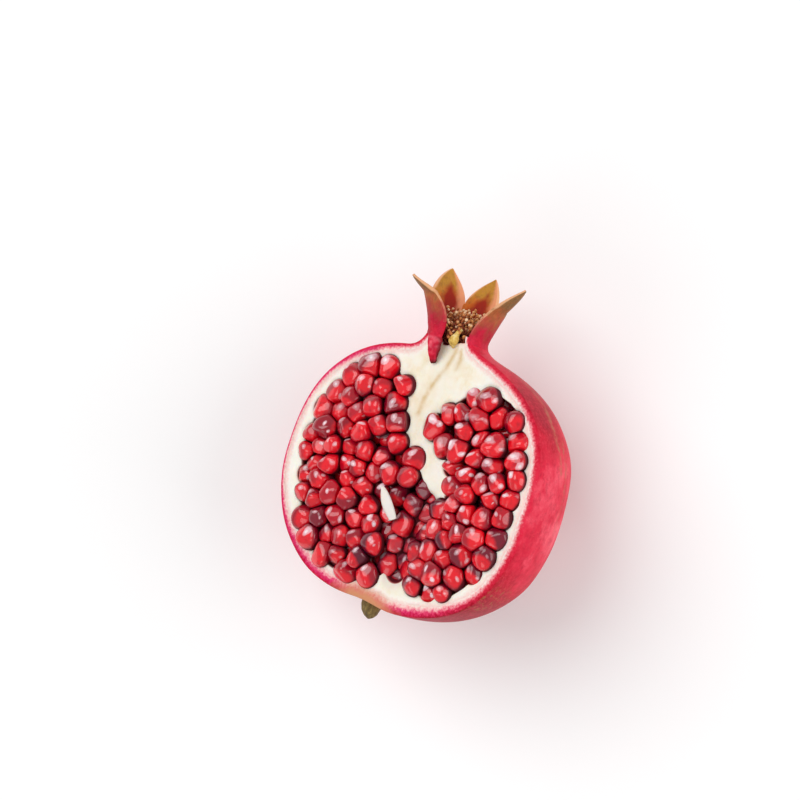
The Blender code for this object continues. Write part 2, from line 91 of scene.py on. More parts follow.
# The crown, in degrees around the neck, where 90 is the cut side and 180 is left
SEPAL_BOUNDS = (91.0, 168.0, 225.0, 285.0, 345.0, 394.5)
SEPAL_TIPS = ((19.4, 58.2), (14.4, 63.8), (14.3, 64.6), (10.4, 58.8), (17.9, 65.0))
SEPAL_LEANS = ((24.0, 0.0), (0.0, 0.0), (0.0, 0.0), (0.0, 0.0), (0.0, -15.0))
SEPAL_TAPERS = (2.2, 1.6, 1.6, 1.6, 2.0)
SEPAL_BENDS = (0.5, 0.25, 0.25, 0.25, 0.6)
CROWN_NOTCH = 55.0
CROWN_NOTCH_RADIUS = 11.0
BENT_ANGLE = math.radians(150.0)
BENT_REACH = math.radians(60.0)
BENT_SPREAD = 3.6
FLAP_TIP = np.array((-3.9, 35.1, 0.9))
FLAP_ACROSS = np.array((0.917, 0.40, 0.0))
FLAP_HALF_WIDTHS = (3.0, 2.9, 2.6, 2.2, 1.7, 0.9)
HEM_SHARE = 0.95
HEM_ROWS = 4
CROWN_WALL = 1.5
RING_ROWS = 9
SEPAL_ROWS = 22
SEPAL_COLUMNS = 14
FLAP_COLUMNS = 8
FLAP_ROWS = 12

# The cut rim: heights at shares of its width, and its width by direction on the face in degrees
RIM_STEPS = 760
RIM_PROFILE = (
    (0.25, 0.07), (0.35, 0.10), (0.5, 0.10), (0.65, 0.08), (0.8, 0.04), (0.9, -0.02), (1.0, -0.14),
    (1.06, -0.5),
)
RIM_WIDTHS = (
    (0, 2.9), (45, 3.0), (70, 2.4), (90, 1.8), (110, 2.2), (135, 2.9), (160, 1.5), (180, 1.0), (200, 1.5),
    (228, 3.6), (270, 4.3), (315, 3.5), (360, 2.9),
)
EDGE_ROUNDING = 0.75
EDGE_STEPS = 6

# The second layer of arils, their own shape, and how they press on what is round them
LOWER_LAYER = -5.4
ARIL_SHARPNESS = 14.0
ARIL_RADIUS = 3.55
ARIL_EGG = 0.16
FACET_DEPTHS = (2.6, 3.15)
NEIGHBOUR_REACH = 8.5
NEIGHBOUR_GAP = 0.04
WALL_REACH = 6.0
WALL_ROOM = (0.3, 1.3)
RECESS_REACH = 8.0
FACE_SEED_STEP = 100
LOWER_SEED_STEP = 50

# The sides of an aril where its seed shows through and its painted highlights lie, and the arils deep in the
# cleft
ARIL_LIT_SIDE = np.array((-0.25, 0.45, 0.85))
ARIL_FAR_SIDE = np.array((0.80, -0.10, 0.60))
CLEFT_ARILS = (
    (8.9, -7.5, -5.2), (8.2, -13.0, -5.8), (7.2, -18.4, -5.4), (6.9, -23.6, -5.0), (9.6, -2.6, -5.6),
    (6.3, -28.0, -5.4),
)

# Where arils lean over the wedge of flesh: a place, how far they are pushed there, and its reach
ARIL_NUDGES = (
    ((-11.0, 24.5), (4.4, 0.0), 5.0), ((-5.5, 12.0), (2.4, 0.0), 4.5), ((-1.0, 7.0), (3.4, 0.4), 6.0),
)

# Each chamber: its piece, outline, seed, CAD node and arils in the cleft
CHAMBERS = (
    ("left_chamber_arils", LEFT_CHAMBER, 5, "arils_left", CLEFT_ARILS),
    ("right_chamber_arils", RIGHT_CHAMBER, 8, "arils_right", ()),
)

# The flesh's depths under the arils, along the torn membrane and in the crown's cup
BED_DEPTH = 7.5
CLEFT_DEPTH = 5.0
CLEFT_WIDTH = 3.4
CUP_DEPTH = 6.0
EDGE_STAIN = 2.2

# The stamens: where they root and end, and the pistil's foot in front of them
STAMEN_COUNT = 420
STAMEN_STEPS = 13
STAMEN_ROOTS = 43.6
STAMEN_ENDS = (45.2, 55.2)
STAMEN_FRONT_DROP = 6.0
STAMEN_ROOT_SPREAD = 6.4
STAMEN_SPREAD = 7.8
STAMEN_ROOT_LEVEL = -1.6
ANTHER_STEPS = np.array(((0.35,), (0.75,), (1.1,)))
ANTHER_SHAPE = np.array((0.45, 1.0, 1.0, 0.4))
GOLDEN_ANGLE = math.radians(137.5)
PISTIL = ((0.1, 41.6, -0.4), (0.5, 42.8, 0.6), (0.6, 44.2, 0.9), (0.8, 45.6, 0.7), (1.0, 47.4, -0.2))
PISTIL_RADII = (0.5, 1.25, 1.4, 1.0, 0.4)
PISTIL_STEPS = 16

# The woody stub
STUB_RADIUS = 3.05
STUB_LENGTH = 5.3
STUB_TAPER = ((0.0, 1.02), (0.25, 1.0), (0.62, 0.80), (0.86, 0.48), (1.0, 0.10))

# Marks on the skin and the flesh, and the torn membrane between the chambers
SCARS = (
    ((12.0, 41.6, -7.6), (20.0, 39.2, -9.8), (28.6, 35.8, -11.2), (34.1, 31.8, -10.8), (38.5, 26.5, -12.0),
     (42.0, 18.0, -13.6)),
    ((38.0, 26.4, -15.6), (41.2, 18.0, -17.6), (42.4, 9.0, -18.8), (42.8, 0.0, -18.6)),
)
FRECKLES = np.array((38.5, -24.8, -6.0))
FRECKLE_SIZES = (7.0, 5.0, 9.0)
MAGENTA_FADES = np.array((0.80, 0.60, 0.0))
DRY_SPOT = np.array((0.5, -39.8, -0.5))
DRY_SIZES = (12.5, 6.0, 6.5)
OPENING_LOW = np.array((-3.4, 41.2))
VEINS = (
    ((2.6, 44.0), (1.8, 41.0), (1.2, 38.0), (0.2, 34.5), (-1.6, 31.0), (-3.0, 27.5), (-3.8, 23.5),
     (-3.6, 20.0)),
    ((3.4, 43.0), (4.2, 40.5), (4.4, 38.0), (3.9, 35.5)),
)
SLIVER_TOP = np.array((-5.0, -4.4, 3.0))
SLIVER_BOTTOM = np.array((1.6, -12.8, 1.6))
SLIVER_SIDE = np.array((0.80, 0.42, 0.30))
SLIVER_WIDTH = 7.6
SLIVER_ROOM = 3.8
SLIVER_ROOT = 9.0
SLIVER_THICKNESS = 0.35

# Where the skin is crimson, pinker with a painted sheen, or darker with painted shade: a place, its sizes and
# how much pinker it is there
BLUSH_PATCHES = (
    ((30.0, 33.0, -8.0), (14.0, 11.0, 16.0), -0.62), ((44.0, 13.0, -11.0), (14.0, 17.0, 18.0), 0.34),
    ((32.0, -33.0, -14.0), (26.0, 13.0, 26.0), -0.80),
)

# The camera, and the suns: a name, a direction as (right, up, out) of the photograph, spread, strength
CAMERA_LENS = 135.4
CAMERA_DISTANCE = 0.9
CAMERA_TARGET = (-1.52, 23.5)
WORLD_LIGHT = 0.48
SUNS = (
    ("key", (-0.60, 0.50, 0.85), 46.0, 1.42), ("side", (0.90, -0.05, 0.60), 50.0, 1.25),
    ("low", (-0.60, -0.70, 0.60), 30.0, 0.34),
)

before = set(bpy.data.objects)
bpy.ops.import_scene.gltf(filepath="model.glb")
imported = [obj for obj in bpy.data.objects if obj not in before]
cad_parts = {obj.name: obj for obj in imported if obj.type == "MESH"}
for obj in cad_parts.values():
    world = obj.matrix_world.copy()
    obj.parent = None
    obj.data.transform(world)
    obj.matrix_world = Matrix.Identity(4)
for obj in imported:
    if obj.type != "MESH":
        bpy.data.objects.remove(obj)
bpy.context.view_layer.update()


# From the fruit frame to the world

def lying_matrix():
    """The half on its flat spot: the crown to -X and the cut face tilted towards -Y."""
    turn = Matrix((
        (0.0, math.cos(FACE_TILT), math.sin(FACE_TILT)),
        (-1.0, 0.0, 0.0),
        (0.0, -math.sin(FACE_TILT), math.cos(FACE_TILT)),
    )).transposed()
    core_middle = np.array((0.0, 0.0, -AXIS_DEPTH))
    flat_spot = core_middle + DOWN * (rest_height() - DOWN @ core_middle)
    return Matrix.Translation(-(turn @ Vector(flat_spot * MM))) @ turn.to_4x4() @ Matrix.Scale(MM, 4)


def add_object(name, data):
    obj = bpy.data.objects.new(name, data)
    bpy.context.scene.collection.objects.link(obj)
    return obj


def add_mesh(name, points, faces, **values):
    """A smooth mesh object from fruit-frame points in mm, with named values at its points."""
    mesh = bpy.data.meshes.new(name)
    mesh.from_pydata(points, [], faces)
    for key, numbers in values.items():
        layer = mesh.attributes.new(key, "FLOAT", "POINT")
        layer.data.foreach_set("value", np.asarray(numbers, dtype=np.float32))
    mesh.transform(LYING)
    mesh.validate()
    mesh.shade_smooth()
    return add_object(name, mesh)


class Bunch:
    """Gathers many small meshes and their named values into one."""

    def __init__(self):
        self.points, self.faces, self.values = [], [], {}
        self.count = 0

    def add(self, points, faces, **values):
        """Adds a mesh, with each value given point by point or once for them all."""
        self.points.append(points)
        self.faces += [tuple(index + self.count for index in face) for face in faces]
        self.count += len(points)
        for key, value in values.items():
            self.values.setdefault(key, []).append(value + np.zeros(len(points)))

    def mesh(self, name):
        values = {key: np.concatenate(parts) for key, parts in self.values.items()}
        return add_mesh(name, natural(np.concatenate(self.points)), self.faces, **values)


def finish_piece(obj, finishes, nodes=()):
    for finish in finishes:
        obj.data.materials.append(finish)
    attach(obj, "root")
    if nodes:
        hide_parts(*nodes)
    return obj


def grid_faces(rows, columns, closed=False, start=0):
    """Quads of a grid of points stored row by row."""
    j, i = np.mgrid[0:rows - 1, 0:columns if closed else columns - 1]
    k = (i + 1) % columns
    corners = ((j, i), (j, k), (j + 1, k), (j + 1, i))
    faces = np.stack([row * columns + column for row, column in corners], axis=-1)
    return (faces.reshape(-1, 4) + start).tolist()


def smoothstep(low, high, value):
    t = np.clip((value - low) / (high - low), 0.0, 1.0)
    return t * t * (3.0 - 2.0 * t)


def bell(distance, width):
    """1 at distance 0, nearly 0 from twice the width on."""
    return np.exp(-((distance / width) ** 2))


def unit(vectors):
    return vectors / np.linalg.norm(vectors, axis=-1, keepdims=True)


def waves(points, seed, size, octaves):
    """Smooth seeded noise in about -1 to 1: summed sine waves in random directions."""
    draw = np.random.default_rng(seed)
    total = np.zeros(len(points))
    weight = 0.0
    for octave in range(octaves):
        for _ in range(6):
            direction = unit(draw.normal(size=3))
            phase = draw.uniform(0.0, 2 * math.pi)
            scale = size / 2**octave * draw.uniform(0.8, 1.25)
            total += np.sin(points @ direction * 2 * math.pi / scale + phase) / 2**octave
        weight += math.sqrt(6.0) / 2**octave
    return total / weight


# The fruit's outer shape

def around_axis(radius, height, angle):
    """Points at that distance from the fruit's axis."""
    radius, height, angle = np.broadcast_arrays(radius, height, angle)
    return np.stack((radius * np.cos(angle), height, radius * np.sin(angle) - AXIS_DEPTH), axis=-1)


def body_profile(angle, polar):
    """Distance from the axis and height of the rounded body, polar 0 at the crown, pi at the stem."""
    flat_side = np.cos(FLAT_SIDES * (angle - DOWN_ANGLE))
    radius = BODY_RADIUS * (1.0 - FLAT_SIDE_DEPTH * 0.5 * (1.0 + flat_side))
    length = np.where(polar < math.pi / 2, CROWN_SHOULDER + SHOULDER_SLOPE * np.cos(angle), STEM_END)
    out = radius * np.abs(np.sin(polar)) ** (2.0 / SQUARENESS)
    up = np.sign(np.cos(polar)) * length * np.abs(np.cos(polar)) ** (2.0 / SQUARENESS)
    dimple = STEM_DIMPLE_DEPTH * bell(out, STEM_DIMPLE_RADIUS)
    return out, up + np.where(polar > math.pi / 2, dimple, 0.0)


def skin_points(angle, share):
    """The skin from the stem, share 0, over the shoulder and up the neck to its rim, share 1."""
    angle, share = np.broadcast_arrays(angle, share)
    polar = math.pi + (SHOULDER_POLAR_ANGLE - math.pi) * np.minimum(share / BODY_SHARE, 1.0)
    body = np.stack(body_profile(angle, polar), axis=-1)
    start = np.stack(body_profile(angle, np.full_like(share, SHOULDER_POLAR_ANGLE)), axis=-1)
    before = np.stack(body_profile(angle, np.full_like(share, SHOULDER_POLAR_ANGLE + POLAR_STEP)), axis=-1)
    end = np.array((NECK_RADIUS, NECK_TOP))
    reach = np.linalg.norm(end - start, axis=-1, keepdims=True)
    leave = unit(start - before) * reach * NECK_LEAVE
    arrive = np.array((0.0, 1.0)) * reach * NECK_ARRIVE
    u = np.clip((share - BODY_SHARE) / (1.0 - BODY_SHARE), 0.0, 1.0)[..., None]
    neck = (start * (2 * u**3 - 3 * u**2 + 1) + leave * (u**3 - 2 * u**2 + u)
            + end * (3 * u**2 - 2 * u**3) + arrive * (u**3 - u**2))
    profile = np.where(u > 0.0, neck, body)
    points = around_axis(profile[..., 0], profile[..., 1], angle)
    return points + NECK_SHIFT * (3 * u**2 - 2 * u**3)


def rest_height():
    """How far the flat spot lies from the origin, along DOWN."""
    side, _ = body_profile(np.array(DOWN_ANGLE), np.array(math.pi / 2))
    return float(DOWN @ around_axis(side, 0.0, DOWN_ANGLE)) - REST_FLATTENING


def keep_flat_spot(points):
    """Points with whatever bulges past the flat spot pressed back onto it."""
    beyond = np.maximum(points @ DOWN - rest_height(), 0.0)
    return points - beyond[:, None] * DOWN


# The seed chambers and where the arils sit, by the CAD model's own rule

def smooth_outline(corners, count):
    """A closed Catmull-Rom curve through the corners as evenly stepped points."""
    corners = np.array(corners, dtype=float)
    at = np.arange(count) * len(corners) / count
    index = at.astype(int)
    t = (at - index)[:, None]
    a, b, c, d = (corners[(index + n) % len(corners)] for n in (-1, 0, 1, 2))
    return 0.5 * (2 * b + (c - a) * t + (2 * a - 5 * b + 4 * c - d) * t**2 + (3 * b - 3 * c + d - a) * t**3)


def inside_distance(points, outline):
    """Distances to a closed outline, positive inside it, and the nearest points on it."""
    along = np.roll(outline, -1, axis=0) - outline
    offsets = points[:, None] - outline
    share = np.clip((offsets * along).sum(axis=-1) / (along**2).sum(axis=-1), 0.0, 1.0)
    near = outline + along * share[..., None]
    gaps = np.linalg.norm(points[:, None] - near, axis=-1)
    best = gaps.argmin(axis=1)
    rows = np.arange(len(points))
    above = outline[:, 1] > points[:, None, 1]
    crossed = above != np.roll(above, -1, axis=1)
    level = np.where(along[:, 1] == 0.0, 1.0, along[:, 1])
    left_of = offsets[..., 0] < offsets[..., 1] * along[:, 0] / level
    inside = (crossed & left_of).sum(axis=1) % 2 == 1
    return np.where(inside, 1.0, -1.0) * gaps[rows, best], near[rows, best]


def packed_places(outline, draw):
    """Places and sizes of a chamber's arils: scattered at random, then pushed apart until they fit."""
    low, high = outline.min(axis=0), outline.max(axis=0)
    ahead = np.roll(outline, -1, axis=0)
    area = 0.5 * abs((outline[:, 0] * ahead[:, 1] - outline[:, 1] * ahead[:, 0]).sum())
    count = round(ARIL_FILL * area / ARIL_SPACING**2)
    places = draw.uniform(low, high, size=(40 * count, 2))
    places = places[inside_distance(places, outline)[0] > ARIL_INSET][:count]
    sizes = draw.uniform(*ARIL_SIZES, size=count)
    wanted = ARIL_SPACING * (sizes[:, None] + sizes) / 2
    for _ in range(PACKING_STEPS):
        apart = places[:, None] - places
        gaps = np.linalg.norm(apart, axis=-1) + np.eye(count) * 1e3
        short = np.maximum(wanted - gaps, 0.0)
        places = places + PACKING_PUSH * (apart / gaps[..., None] * short[..., None]).sum(axis=1)
        distance, near = inside_distance(places, outline)
        inward = (places - near) / np.abs(distance)[:, None] * np.sign(distance)[:, None]
        places = np.where(distance[:, None] < ARIL_INSET, near + inward * ARIL_INSET, places)
    kept = []
    for i in range(count):
        crowded = any(np.linalg.norm(places[i] - places[j]) < 0.78 * wanted[i, j] for j in kept)
        if not crowded and inside_distance(places[i:i + 1], outline)[0][0] > ARIL_INSET - 0.1:
            kept.append(i)
    return places[kept], sizes[kept]


def cleft_distance(places):
    """Distances to the torn membrane between the chambers."""
    along = CLEFT_BOTTOM - CLEFT_TOP
    share = np.clip((places - CLEFT_TOP) @ along / (along @ along), 0.0, 1.0)
    return np.linalg.norm(places - CLEFT_TOP - along * share[:, None], axis=-1)


def aril_centres(corners, seed):
    """Middles and sizes of a chamber's arils: proud of the face inside, lower at the edges."""
    draw = np.random.default_rng(seed)
    outline = smooth_outline(corners, OUTLINE_POINTS)
    places, sizes = packed_places(outline, draw)
    rise = np.minimum(1.0, inside_distance(places, outline)[0] / ARIL_CROWNING_REACH)
    sink = CLEFT_SINK * bell(cleft_distance(places), CLEFT_SINK_REACH)
    heights = ARIL_LEVEL + ARIL_CROWNING * rise - sink
    heights += draw.uniform(-ARIL_UNEVENNESS, ARIL_UNEVENNESS, size=len(places))
    return np.column_stack((places, heights)), sizes


# Finishes

class Finish:
    """A Principled material, with short ways to add nodes to it."""

    def __init__(self, name, constants):
        self.material = bpy.data.materials.new(name)
        self.material.use_nodes = True
        self.tree = self.material.node_tree
        self.shader = self.tree.nodes["Principled BSDF"]
        for key, value in constants.items():
            self.shader.inputs[key].default_value = value

    def feed(self, socket, source):
        if isinstance(source, bpy.types.NodeSocket):
            self.tree.links.new(source, socket)
        elif isinstance(source, tuple):
            socket.default_value = (*source, 1.0)
        else:
            socket.default_value = source

    def value(self, name):
        """One of the mesh's own named values."""
        node = self.tree.nodes.new("ShaderNodeAttribute")
        node.attribute_name = name
        return node.outputs["Fac"]

    def noise(self, size, detail=3.0, roughness=0.5, stretch=(1.0, 1.0, 1.0)):
        """Noise with features of that size in mm, stretched along the world's axes."""
        place = self.tree.nodes.new("ShaderNodeTexCoord")
        mapping = self.tree.nodes.new("ShaderNodeMapping")
        mapping.inputs["Scale"].default_value = [1.0 / (size * MM * s) for s in stretch]
        node = self.tree.nodes.new("ShaderNodeTexNoise")
        node.inputs["Scale"].default_value = 1.0
        node.inputs["Detail"].default_value = detail
        node.inputs["Roughness"].default_value = roughness
        self.tree.links.new(place.outputs["Object"], mapping.inputs["Vector"])
        self.tree.links.new(mapping.outputs["Vector"], node.inputs["Vector"])
        return node.outputs["Fac"]

    def ramp(self, source, *stops):
        """Colours, or greys from 0 to 1, at positions along the source."""
        node = self.tree.nodes.new("ShaderNodeValToRGB")
        elements = node.color_ramp.elements
        while len(elements) < len(stops):
            elements.new(0.5)
        for element, (position, colour) in zip(elements, stops):
            element.position = position
            element.color = (*colour, 1.0) if isinstance(colour, tuple) else (colour, colour, colour, 1.0)
        self.feed(node.inputs["Fac"], source)
        return node.outputs["Color"]

    def math(self, operation, first, second):
        node = self.tree.nodes.new("ShaderNodeMath")
        node.operation = operation
        self.feed(node.inputs[0], first)
        self.feed(node.inputs[1], second)
        return node.outputs["Value"]

    def mix(self, share, first, second):
        node = self.tree.nodes.new("ShaderNodeMix")
        node.data_type = "RGBA"
        self.feed(node.inputs["Factor"], share)
        colours = [socket for socket in node.inputs if socket.type == "RGBA"]
        self.feed(colours[0], first)
        self.feed(colours[1], second)
        return next(socket for socket in node.outputs if socket.type == "RGBA")

    def lay(self, base, colour, source, low, high, share=1.0):
        """A base with a colour laid over it, up to that share, where the source rises from low to high."""
        return self.mix(self.ramp(source, (low, 0.0), (high, share)), base, colour)

    def uneven(self, name, strength, size, detail, roughness=0.5, middle=0.5):
        """A named value plus noise of that strength, which adds nothing where it is at its middle."""
        shift = self.math("SUBTRACT", self.noise(size, detail, roughness), middle)
        return self.math("ADD", self.value(name), self.math("MULTIPLY", shift, strength))

    def broken(self, name, source, *stops):
        """A named value broken up by a ramp along the source."""
        return self.math("MULTIPLY", self.value(name), self.ramp(source, *stops))

    def colour(self, source):
        self.feed(self.shader.inputs["Base Color"], source)

    def bump(self, height, distance, strength=1.0):
        """Raises the surface by up to that distance in mm."""
        node = self.tree.nodes.new("ShaderNodeBump")
        node.inputs["Strength"].default_value = strength
        node.inputs["Distance"].default_value = distance * MM
        self.feed(node.inputs["Height"], height)
        self.tree.links.new(node.outputs["Normal"], self.shader.inputs["Normal"])


def skin_finish():
    made = Finish("pomegranate skin", {
        "Roughness": 0.45, "IOR": 1.33, "Specular IOR Level": 0.14,
        "Subsurface Weight": 0.08, "Subsurface Radius": (1.0, 0.2, 0.15), "Subsurface Scale": 0.8 * MM,
    })
    scar = made.broken("scar", made.noise(3.0, 5.0, 0.7), (0.40, 0.0), (0.60, 0.8))
    red = made.mix(scar, skin_red(made), (0.44, 0.16, 0.09))
    freckle = made.broken("freckle", made.noise(1.3, 4.0), (0.53, 0.0), (0.63, 0.7))
    red = made.mix(freckle, red, (0.33, 0.17, 0.05))
    across = made.uneven("rim", 0.95, 0.8, 4.0, 0.65)
    magenta = made.ramp(
        across, (0.15, (0.66, 0.008, 0.095)), (0.45, (0.76, 0.05, 0.17)), (0.66, (0.92, 0.36, 0.40)),
        (0.95, (0.96, 0.76, 0.68)),
    )
    pink = made.ramp(
        across, (0.30, (0.72, 0.024, 0.060)), (0.50, (0.84, 0.20, 0.24)), (0.68, (0.94, 0.56, 0.54)),
        (0.88, (0.97, 0.86, 0.80)),
    )
    red = made.lay(red, made.mix(made.value("magenta"), pink, magenta), across, 0.02, 0.36)
    dry = made.uneven("dry", 0.4, 2.0, 4.0, middle=0.0)
    made.colour(made.lay(red, (0.66, 0.31, 0.15), dry, 0.45, 1.0, 0.9))
    made.bump(made.noise(0.9, 5.0, 0.6), 0.05, 0.5)
    return made.material


def skin_red(made):
    """Crimson mottled with pink, as on the skin and the foot of the crown."""
    # The blush value carries a painted sheen and painted shade as well as the skin's own mottling.
    red = made.ramp(
        made.uneven("blush", 1.5, 10.0, 6.0, 0.62), (0.0, (0.34, 0.002, 0.016)), (0.35, (0.54, 0.003, 0.022)),
        (0.70, (0.74, 0.018, 0.054)), (1.0, (0.92, 0.115, 0.165)),
    )
    red = made.lay(red, (0.80, 0.060, 0.105), made.noise(1.6, 6.0, 0.7), 0.44, 0.74, 0.40)
    dark = made.ramp(made.noise(2.6, 5.0, 0.7), (0.32, 0.40), (0.50, 0.0))
    red = made.mix(dark, red, (0.38, 0.002, 0.018))
    return made.lay(red, (0.86, 0.26, 0.20), made.noise(0.5, 2.0), 0.68, 0.76, 0.35)


def flesh_finish():
    made = Finish("pomegranate pith", {
        "Roughness": 0.6, "Specular IOR Level": 0.3,
        "Subsurface Weight": 0.25, "Subsurface Radius": (1.0, 0.6, 0.4), "Subsurface Scale": 1.5 * MM,
    })
    cream = made.ramp(
        made.noise(7.0, 5.0, 0.6), (0.35, (0.96, 0.92, 0.83)), (0.56, (0.94, 0.87, 0.72)),
        (0.76, (0.86, 0.72, 0.48)),
    )
    fibres = made.noise(1.4, 5.0, 0.6, (4.0, 1.0, 1.0))
    cream = made.lay(cream, (0.97, 0.94, 0.84), fibres, 0.45, 0.75, 0.45)
    # Tan veins, with a broad soft tan halo round them that is painted shade.
    vein = made.broken("vein", made.noise(2.6, 4.0), (0.30, 0.30), (0.65, 0.7))
    cream = made.mix(vein, cream, (0.70, 0.50, 0.24))
    edge = made.uneven("edge", 0.9, 0.8, 4.0, 0.65)
    cream = made.lay(cream, (0.97, 0.90, 0.84), edge, 0.10, 0.40, 0.7)
    cream = made.lay(cream, (0.95, 0.58, 0.54), edge, 0.45, 1.0, 0.85)
    dry = made.uneven("dry", 0.4, 2.0, 4.0, middle=0.0)
    cream = made.lay(cream, (0.76, 0.38, 0.20), dry, 0.5, 1.0, 0.8)
    # Painted shade in the hollows under the arils, along the torn membrane and in the crown's cup: reddish
    # where the flesh starts to drop, then near black.
    cream = made.lay(cream, (0.50, 0.045, 0.050), made.value("bed"), 0.01, 0.08, 0.9)
    made.colour(made.lay(cream, (0.10, 0.002, 0.008), made.value("bed"), 0.06, 0.22))
    made.bump(made.noise(1.2, 6.0, 0.65), 0.12, 0.6)
    return made.material


def aril_finish():
    """Wet red juice with the pale seed showing through its lit side as painted highlights, a painted glow on
    its far side and painted shade where arils touch.
    """
    made = Finish("aril juice", {
        "Specular IOR Level": 0.3, "Coat Roughness": 0.03, "Coat IOR": 1.5,
        "Subsurface Weight": 0.25, "Subsurface Radius": (1.0, 0.05, 0.04), "Subsurface Scale": 1.5 * MM,
    })
    red = made.ramp(
        made.value("shade"), (0.0, (0.13, 0.003, 0.020)), (0.3, (0.28, 0.002, 0.016)),
        (0.7, (0.52, 0.002, 0.016)), (1.0, (0.74, 0.005, 0.020)),
    )
    # A painted glow: brighter red on the side of each aril away from the key light.
    glow = made.uneven("glow", 0.5, 2.0, 3.0, middle=0.0)
    red = made.lay(red, (0.92, 0.006, 0.018), glow, 0.55, 1.0, 0.80)
    red = made.lay(red, (0.24, 0.001, 0.012), made.noise(1.6, 3.0), 0.52, 0.78, 0.5)
    core = made.uneven("core", 0.35, 1.5, 2.0)
    # Pale lavender spots where the seed shows, with near-white painted highlights at their middles.
    for colour, low, high in (((0.90, 0.60, 0.66), 0.48, 0.62), ((0.98, 0.92, 0.93), 0.74, 0.86)):
        red = made.mix(made.broken("pale", core, (low, 0.0), (high, 1.0)), red, colour)
    mauve = made.broken("dull", made.noise(5.0, 2.0), (0.40, 0.0), (0.62, 1.0))
    red = made.mix(mauve, red, (0.30, 0.055, 0.085))
    # Painted shade: near black and less glossy low on each aril, where arils touch and sit down in the gaps.
    contact = made.value("contact")
    made.feed(made.shader.inputs["Coat Weight"], made.ramp(contact, (0.10, 0.8), (0.70, 0.0)))
    made.feed(made.shader.inputs["Roughness"], made.ramp(contact, (0.10, 0.14), (0.70, 0.7)))
    made.colour(made.lay(red, (0.070, 0.001, 0.008), contact, 0.10, 0.75, 0.95))
    made.bump(made.noise(2.6, 2.0), 0.10, 0.35)
    return made.material


def sepal_finish(name, middle, tip, stripe=None):
    """Leathery sepal, from the skin's red or a stripe at its foot to the colour of its tip."""
    made = Finish(name, {"Roughness": 0.5, "Specular IOR Level": 0.08})
    along = made.uneven("along", 0.45, 4.0, 4.0, middle=0.0)
    colour = made.ramp(along, (0.50, middle), (0.76, tip))
    colour = made.lay(colour, (0.24, 0.105, 0.030), made.noise(1.4, 4.0, 0.6), 0.46, 0.68, 0.6)
    fibres = made.noise(0.7, 5.0, 0.65, (3.5, 1.0, 1.0))
    colour = made.lay(colour, (0.62, 0.24, 0.07), fibres, 0.42, 0.72, 0.40)
    if stripe is None:
        foot = made.lay(skin_red(made), (0.24, 0.012, 0.040), along, 0.20, 0.38, 0.65)
        colour = made.lay(foot, colour, along, 0.28, 0.55)
    else:
        reach = made.math("SUBTRACT", made.math("MULTIPLY", made.value("middle"), 0.6), along)
        colour = made.lay(colour, stripe, made.math("ADD", reach, 0.34), 0.0, 0.28, 0.92)
        side = made.uneven("side", 0.5, 3.0, 3.0, middle=0.0)
        colour = made.lay(colour, (0.88, 0.36, 0.20), side, 0.58, 0.95, 0.8)
    colour = made.lay(colour, (0.84, 0.44, 0.24), made.value("brim"), 0.60, 0.95, 0.8)
    made.colour(made.mix(made.value("torn"), colour, (0.055, 0.012, 0.010)))
    made.bump(made.noise(0.7, 5.0, 0.6, (3.0, 1.0, 1.0)), 0.12, 0.7)
    return made.material


def stamen_finish():
    made = Finish("dry stamens", {"Roughness": 0.6, "Specular IOR Level": 0.3})
    colour = made.ramp(
        made.value("shade"), (0.0, (0.080, 0.004, 0.007)), (0.35, (0.36, 0.070, 0.025)),
        (0.7, (0.64, 0.27, 0.075)), (1.0, (0.92, 0.66, 0.42)),
    )
    pistil = made.ramp(
        made.noise(1.4, 4.0), (0.35, (0.50, 0.29, 0.05)), (0.50, (0.74, 0.49, 0.11)),
        (0.66, (0.86, 0.72, 0.34)),
    )
    made.colour(made.mix(made.value("fresh"), colour, pistil))
    return made.material


def stub_finish():
    made = Finish("woody stub", {"Roughness": 0.75})
    bark = made.noise(0.9, 5.0, 0.65, (3.0, 1.0, 1.0))
    made.colour(made.ramp(
        bark, (0.30, (0.055, 0.030, 0.010)), (0.55, (0.19, 0.12, 0.028)), (0.78, (0.38, 0.28, 0.09)),
    ))
    made.bump(bark, 0.5, 0.8)
    return made.material


# Skin and cut rim

def face_edge(count, level=0.0):
    """The skin's outline at a height, evenly stepped from the neck's right by the stem to its left."""
    low, high = 0.0, 0.5
    for _ in range(40):
        middle = (low + high) / 2
        if skin_points(np.array(math.pi / 2), np.array(middle))[2] > level:
            high = middle
        else:
            low = middle
    share = high + (1.0 - high) * np.linspace(0.0, 1.0, 3000) ** 2
    sides = []
    for start, turn in ((0.0, 1.0), (math.pi, -1.0)):
        angle = np.full_like(share, 0.5)
        for _ in range(60):
            radius = (skin_points(start + turn * angle, share)[:, 2] + AXIS_DEPTH) / np.sin(angle)
            angle = np.arcsin(np.clip((AXIS_DEPTH + level) / radius, 0.0, 1.0))
        sides.append(skin_points(start + turn * angle, share))
    line = np.concatenate((sides[0][::-1], sides[1][1:]))
    line[:, 2] = level
    gone = np.concatenate(((0.0,), np.cumsum(np.linalg.norm(np.diff(line, axis=0), axis=1))))
    at = np.linspace(0.0, gone[-1], count)
    return np.stack([np.interp(at, gone, line[:, k]) for k in range(3)], axis=-1)


def inward_of(line):
    """Unit steps across a clockwise line in the face plane, towards its inside."""
    along = unit(np.gradient(line[:, :2], axis=0))
    return np.column_stack((along[:, 1], -along[:, 0], np.zeros(len(line))))


def rim_widths(edge):
    """How wide the cut rind shows at each point of the edge, with a ragged inner line."""
    degrees, widths = zip(*RIM_WIDTHS)
    around = np.degrees(np.arctan2(edge[:, 1], edge[:, 0])) % 360.0
    return np.interp(around, degrees, widths) * (1.0 + 0.10 * waves(edge, 17, 7.0, 3))


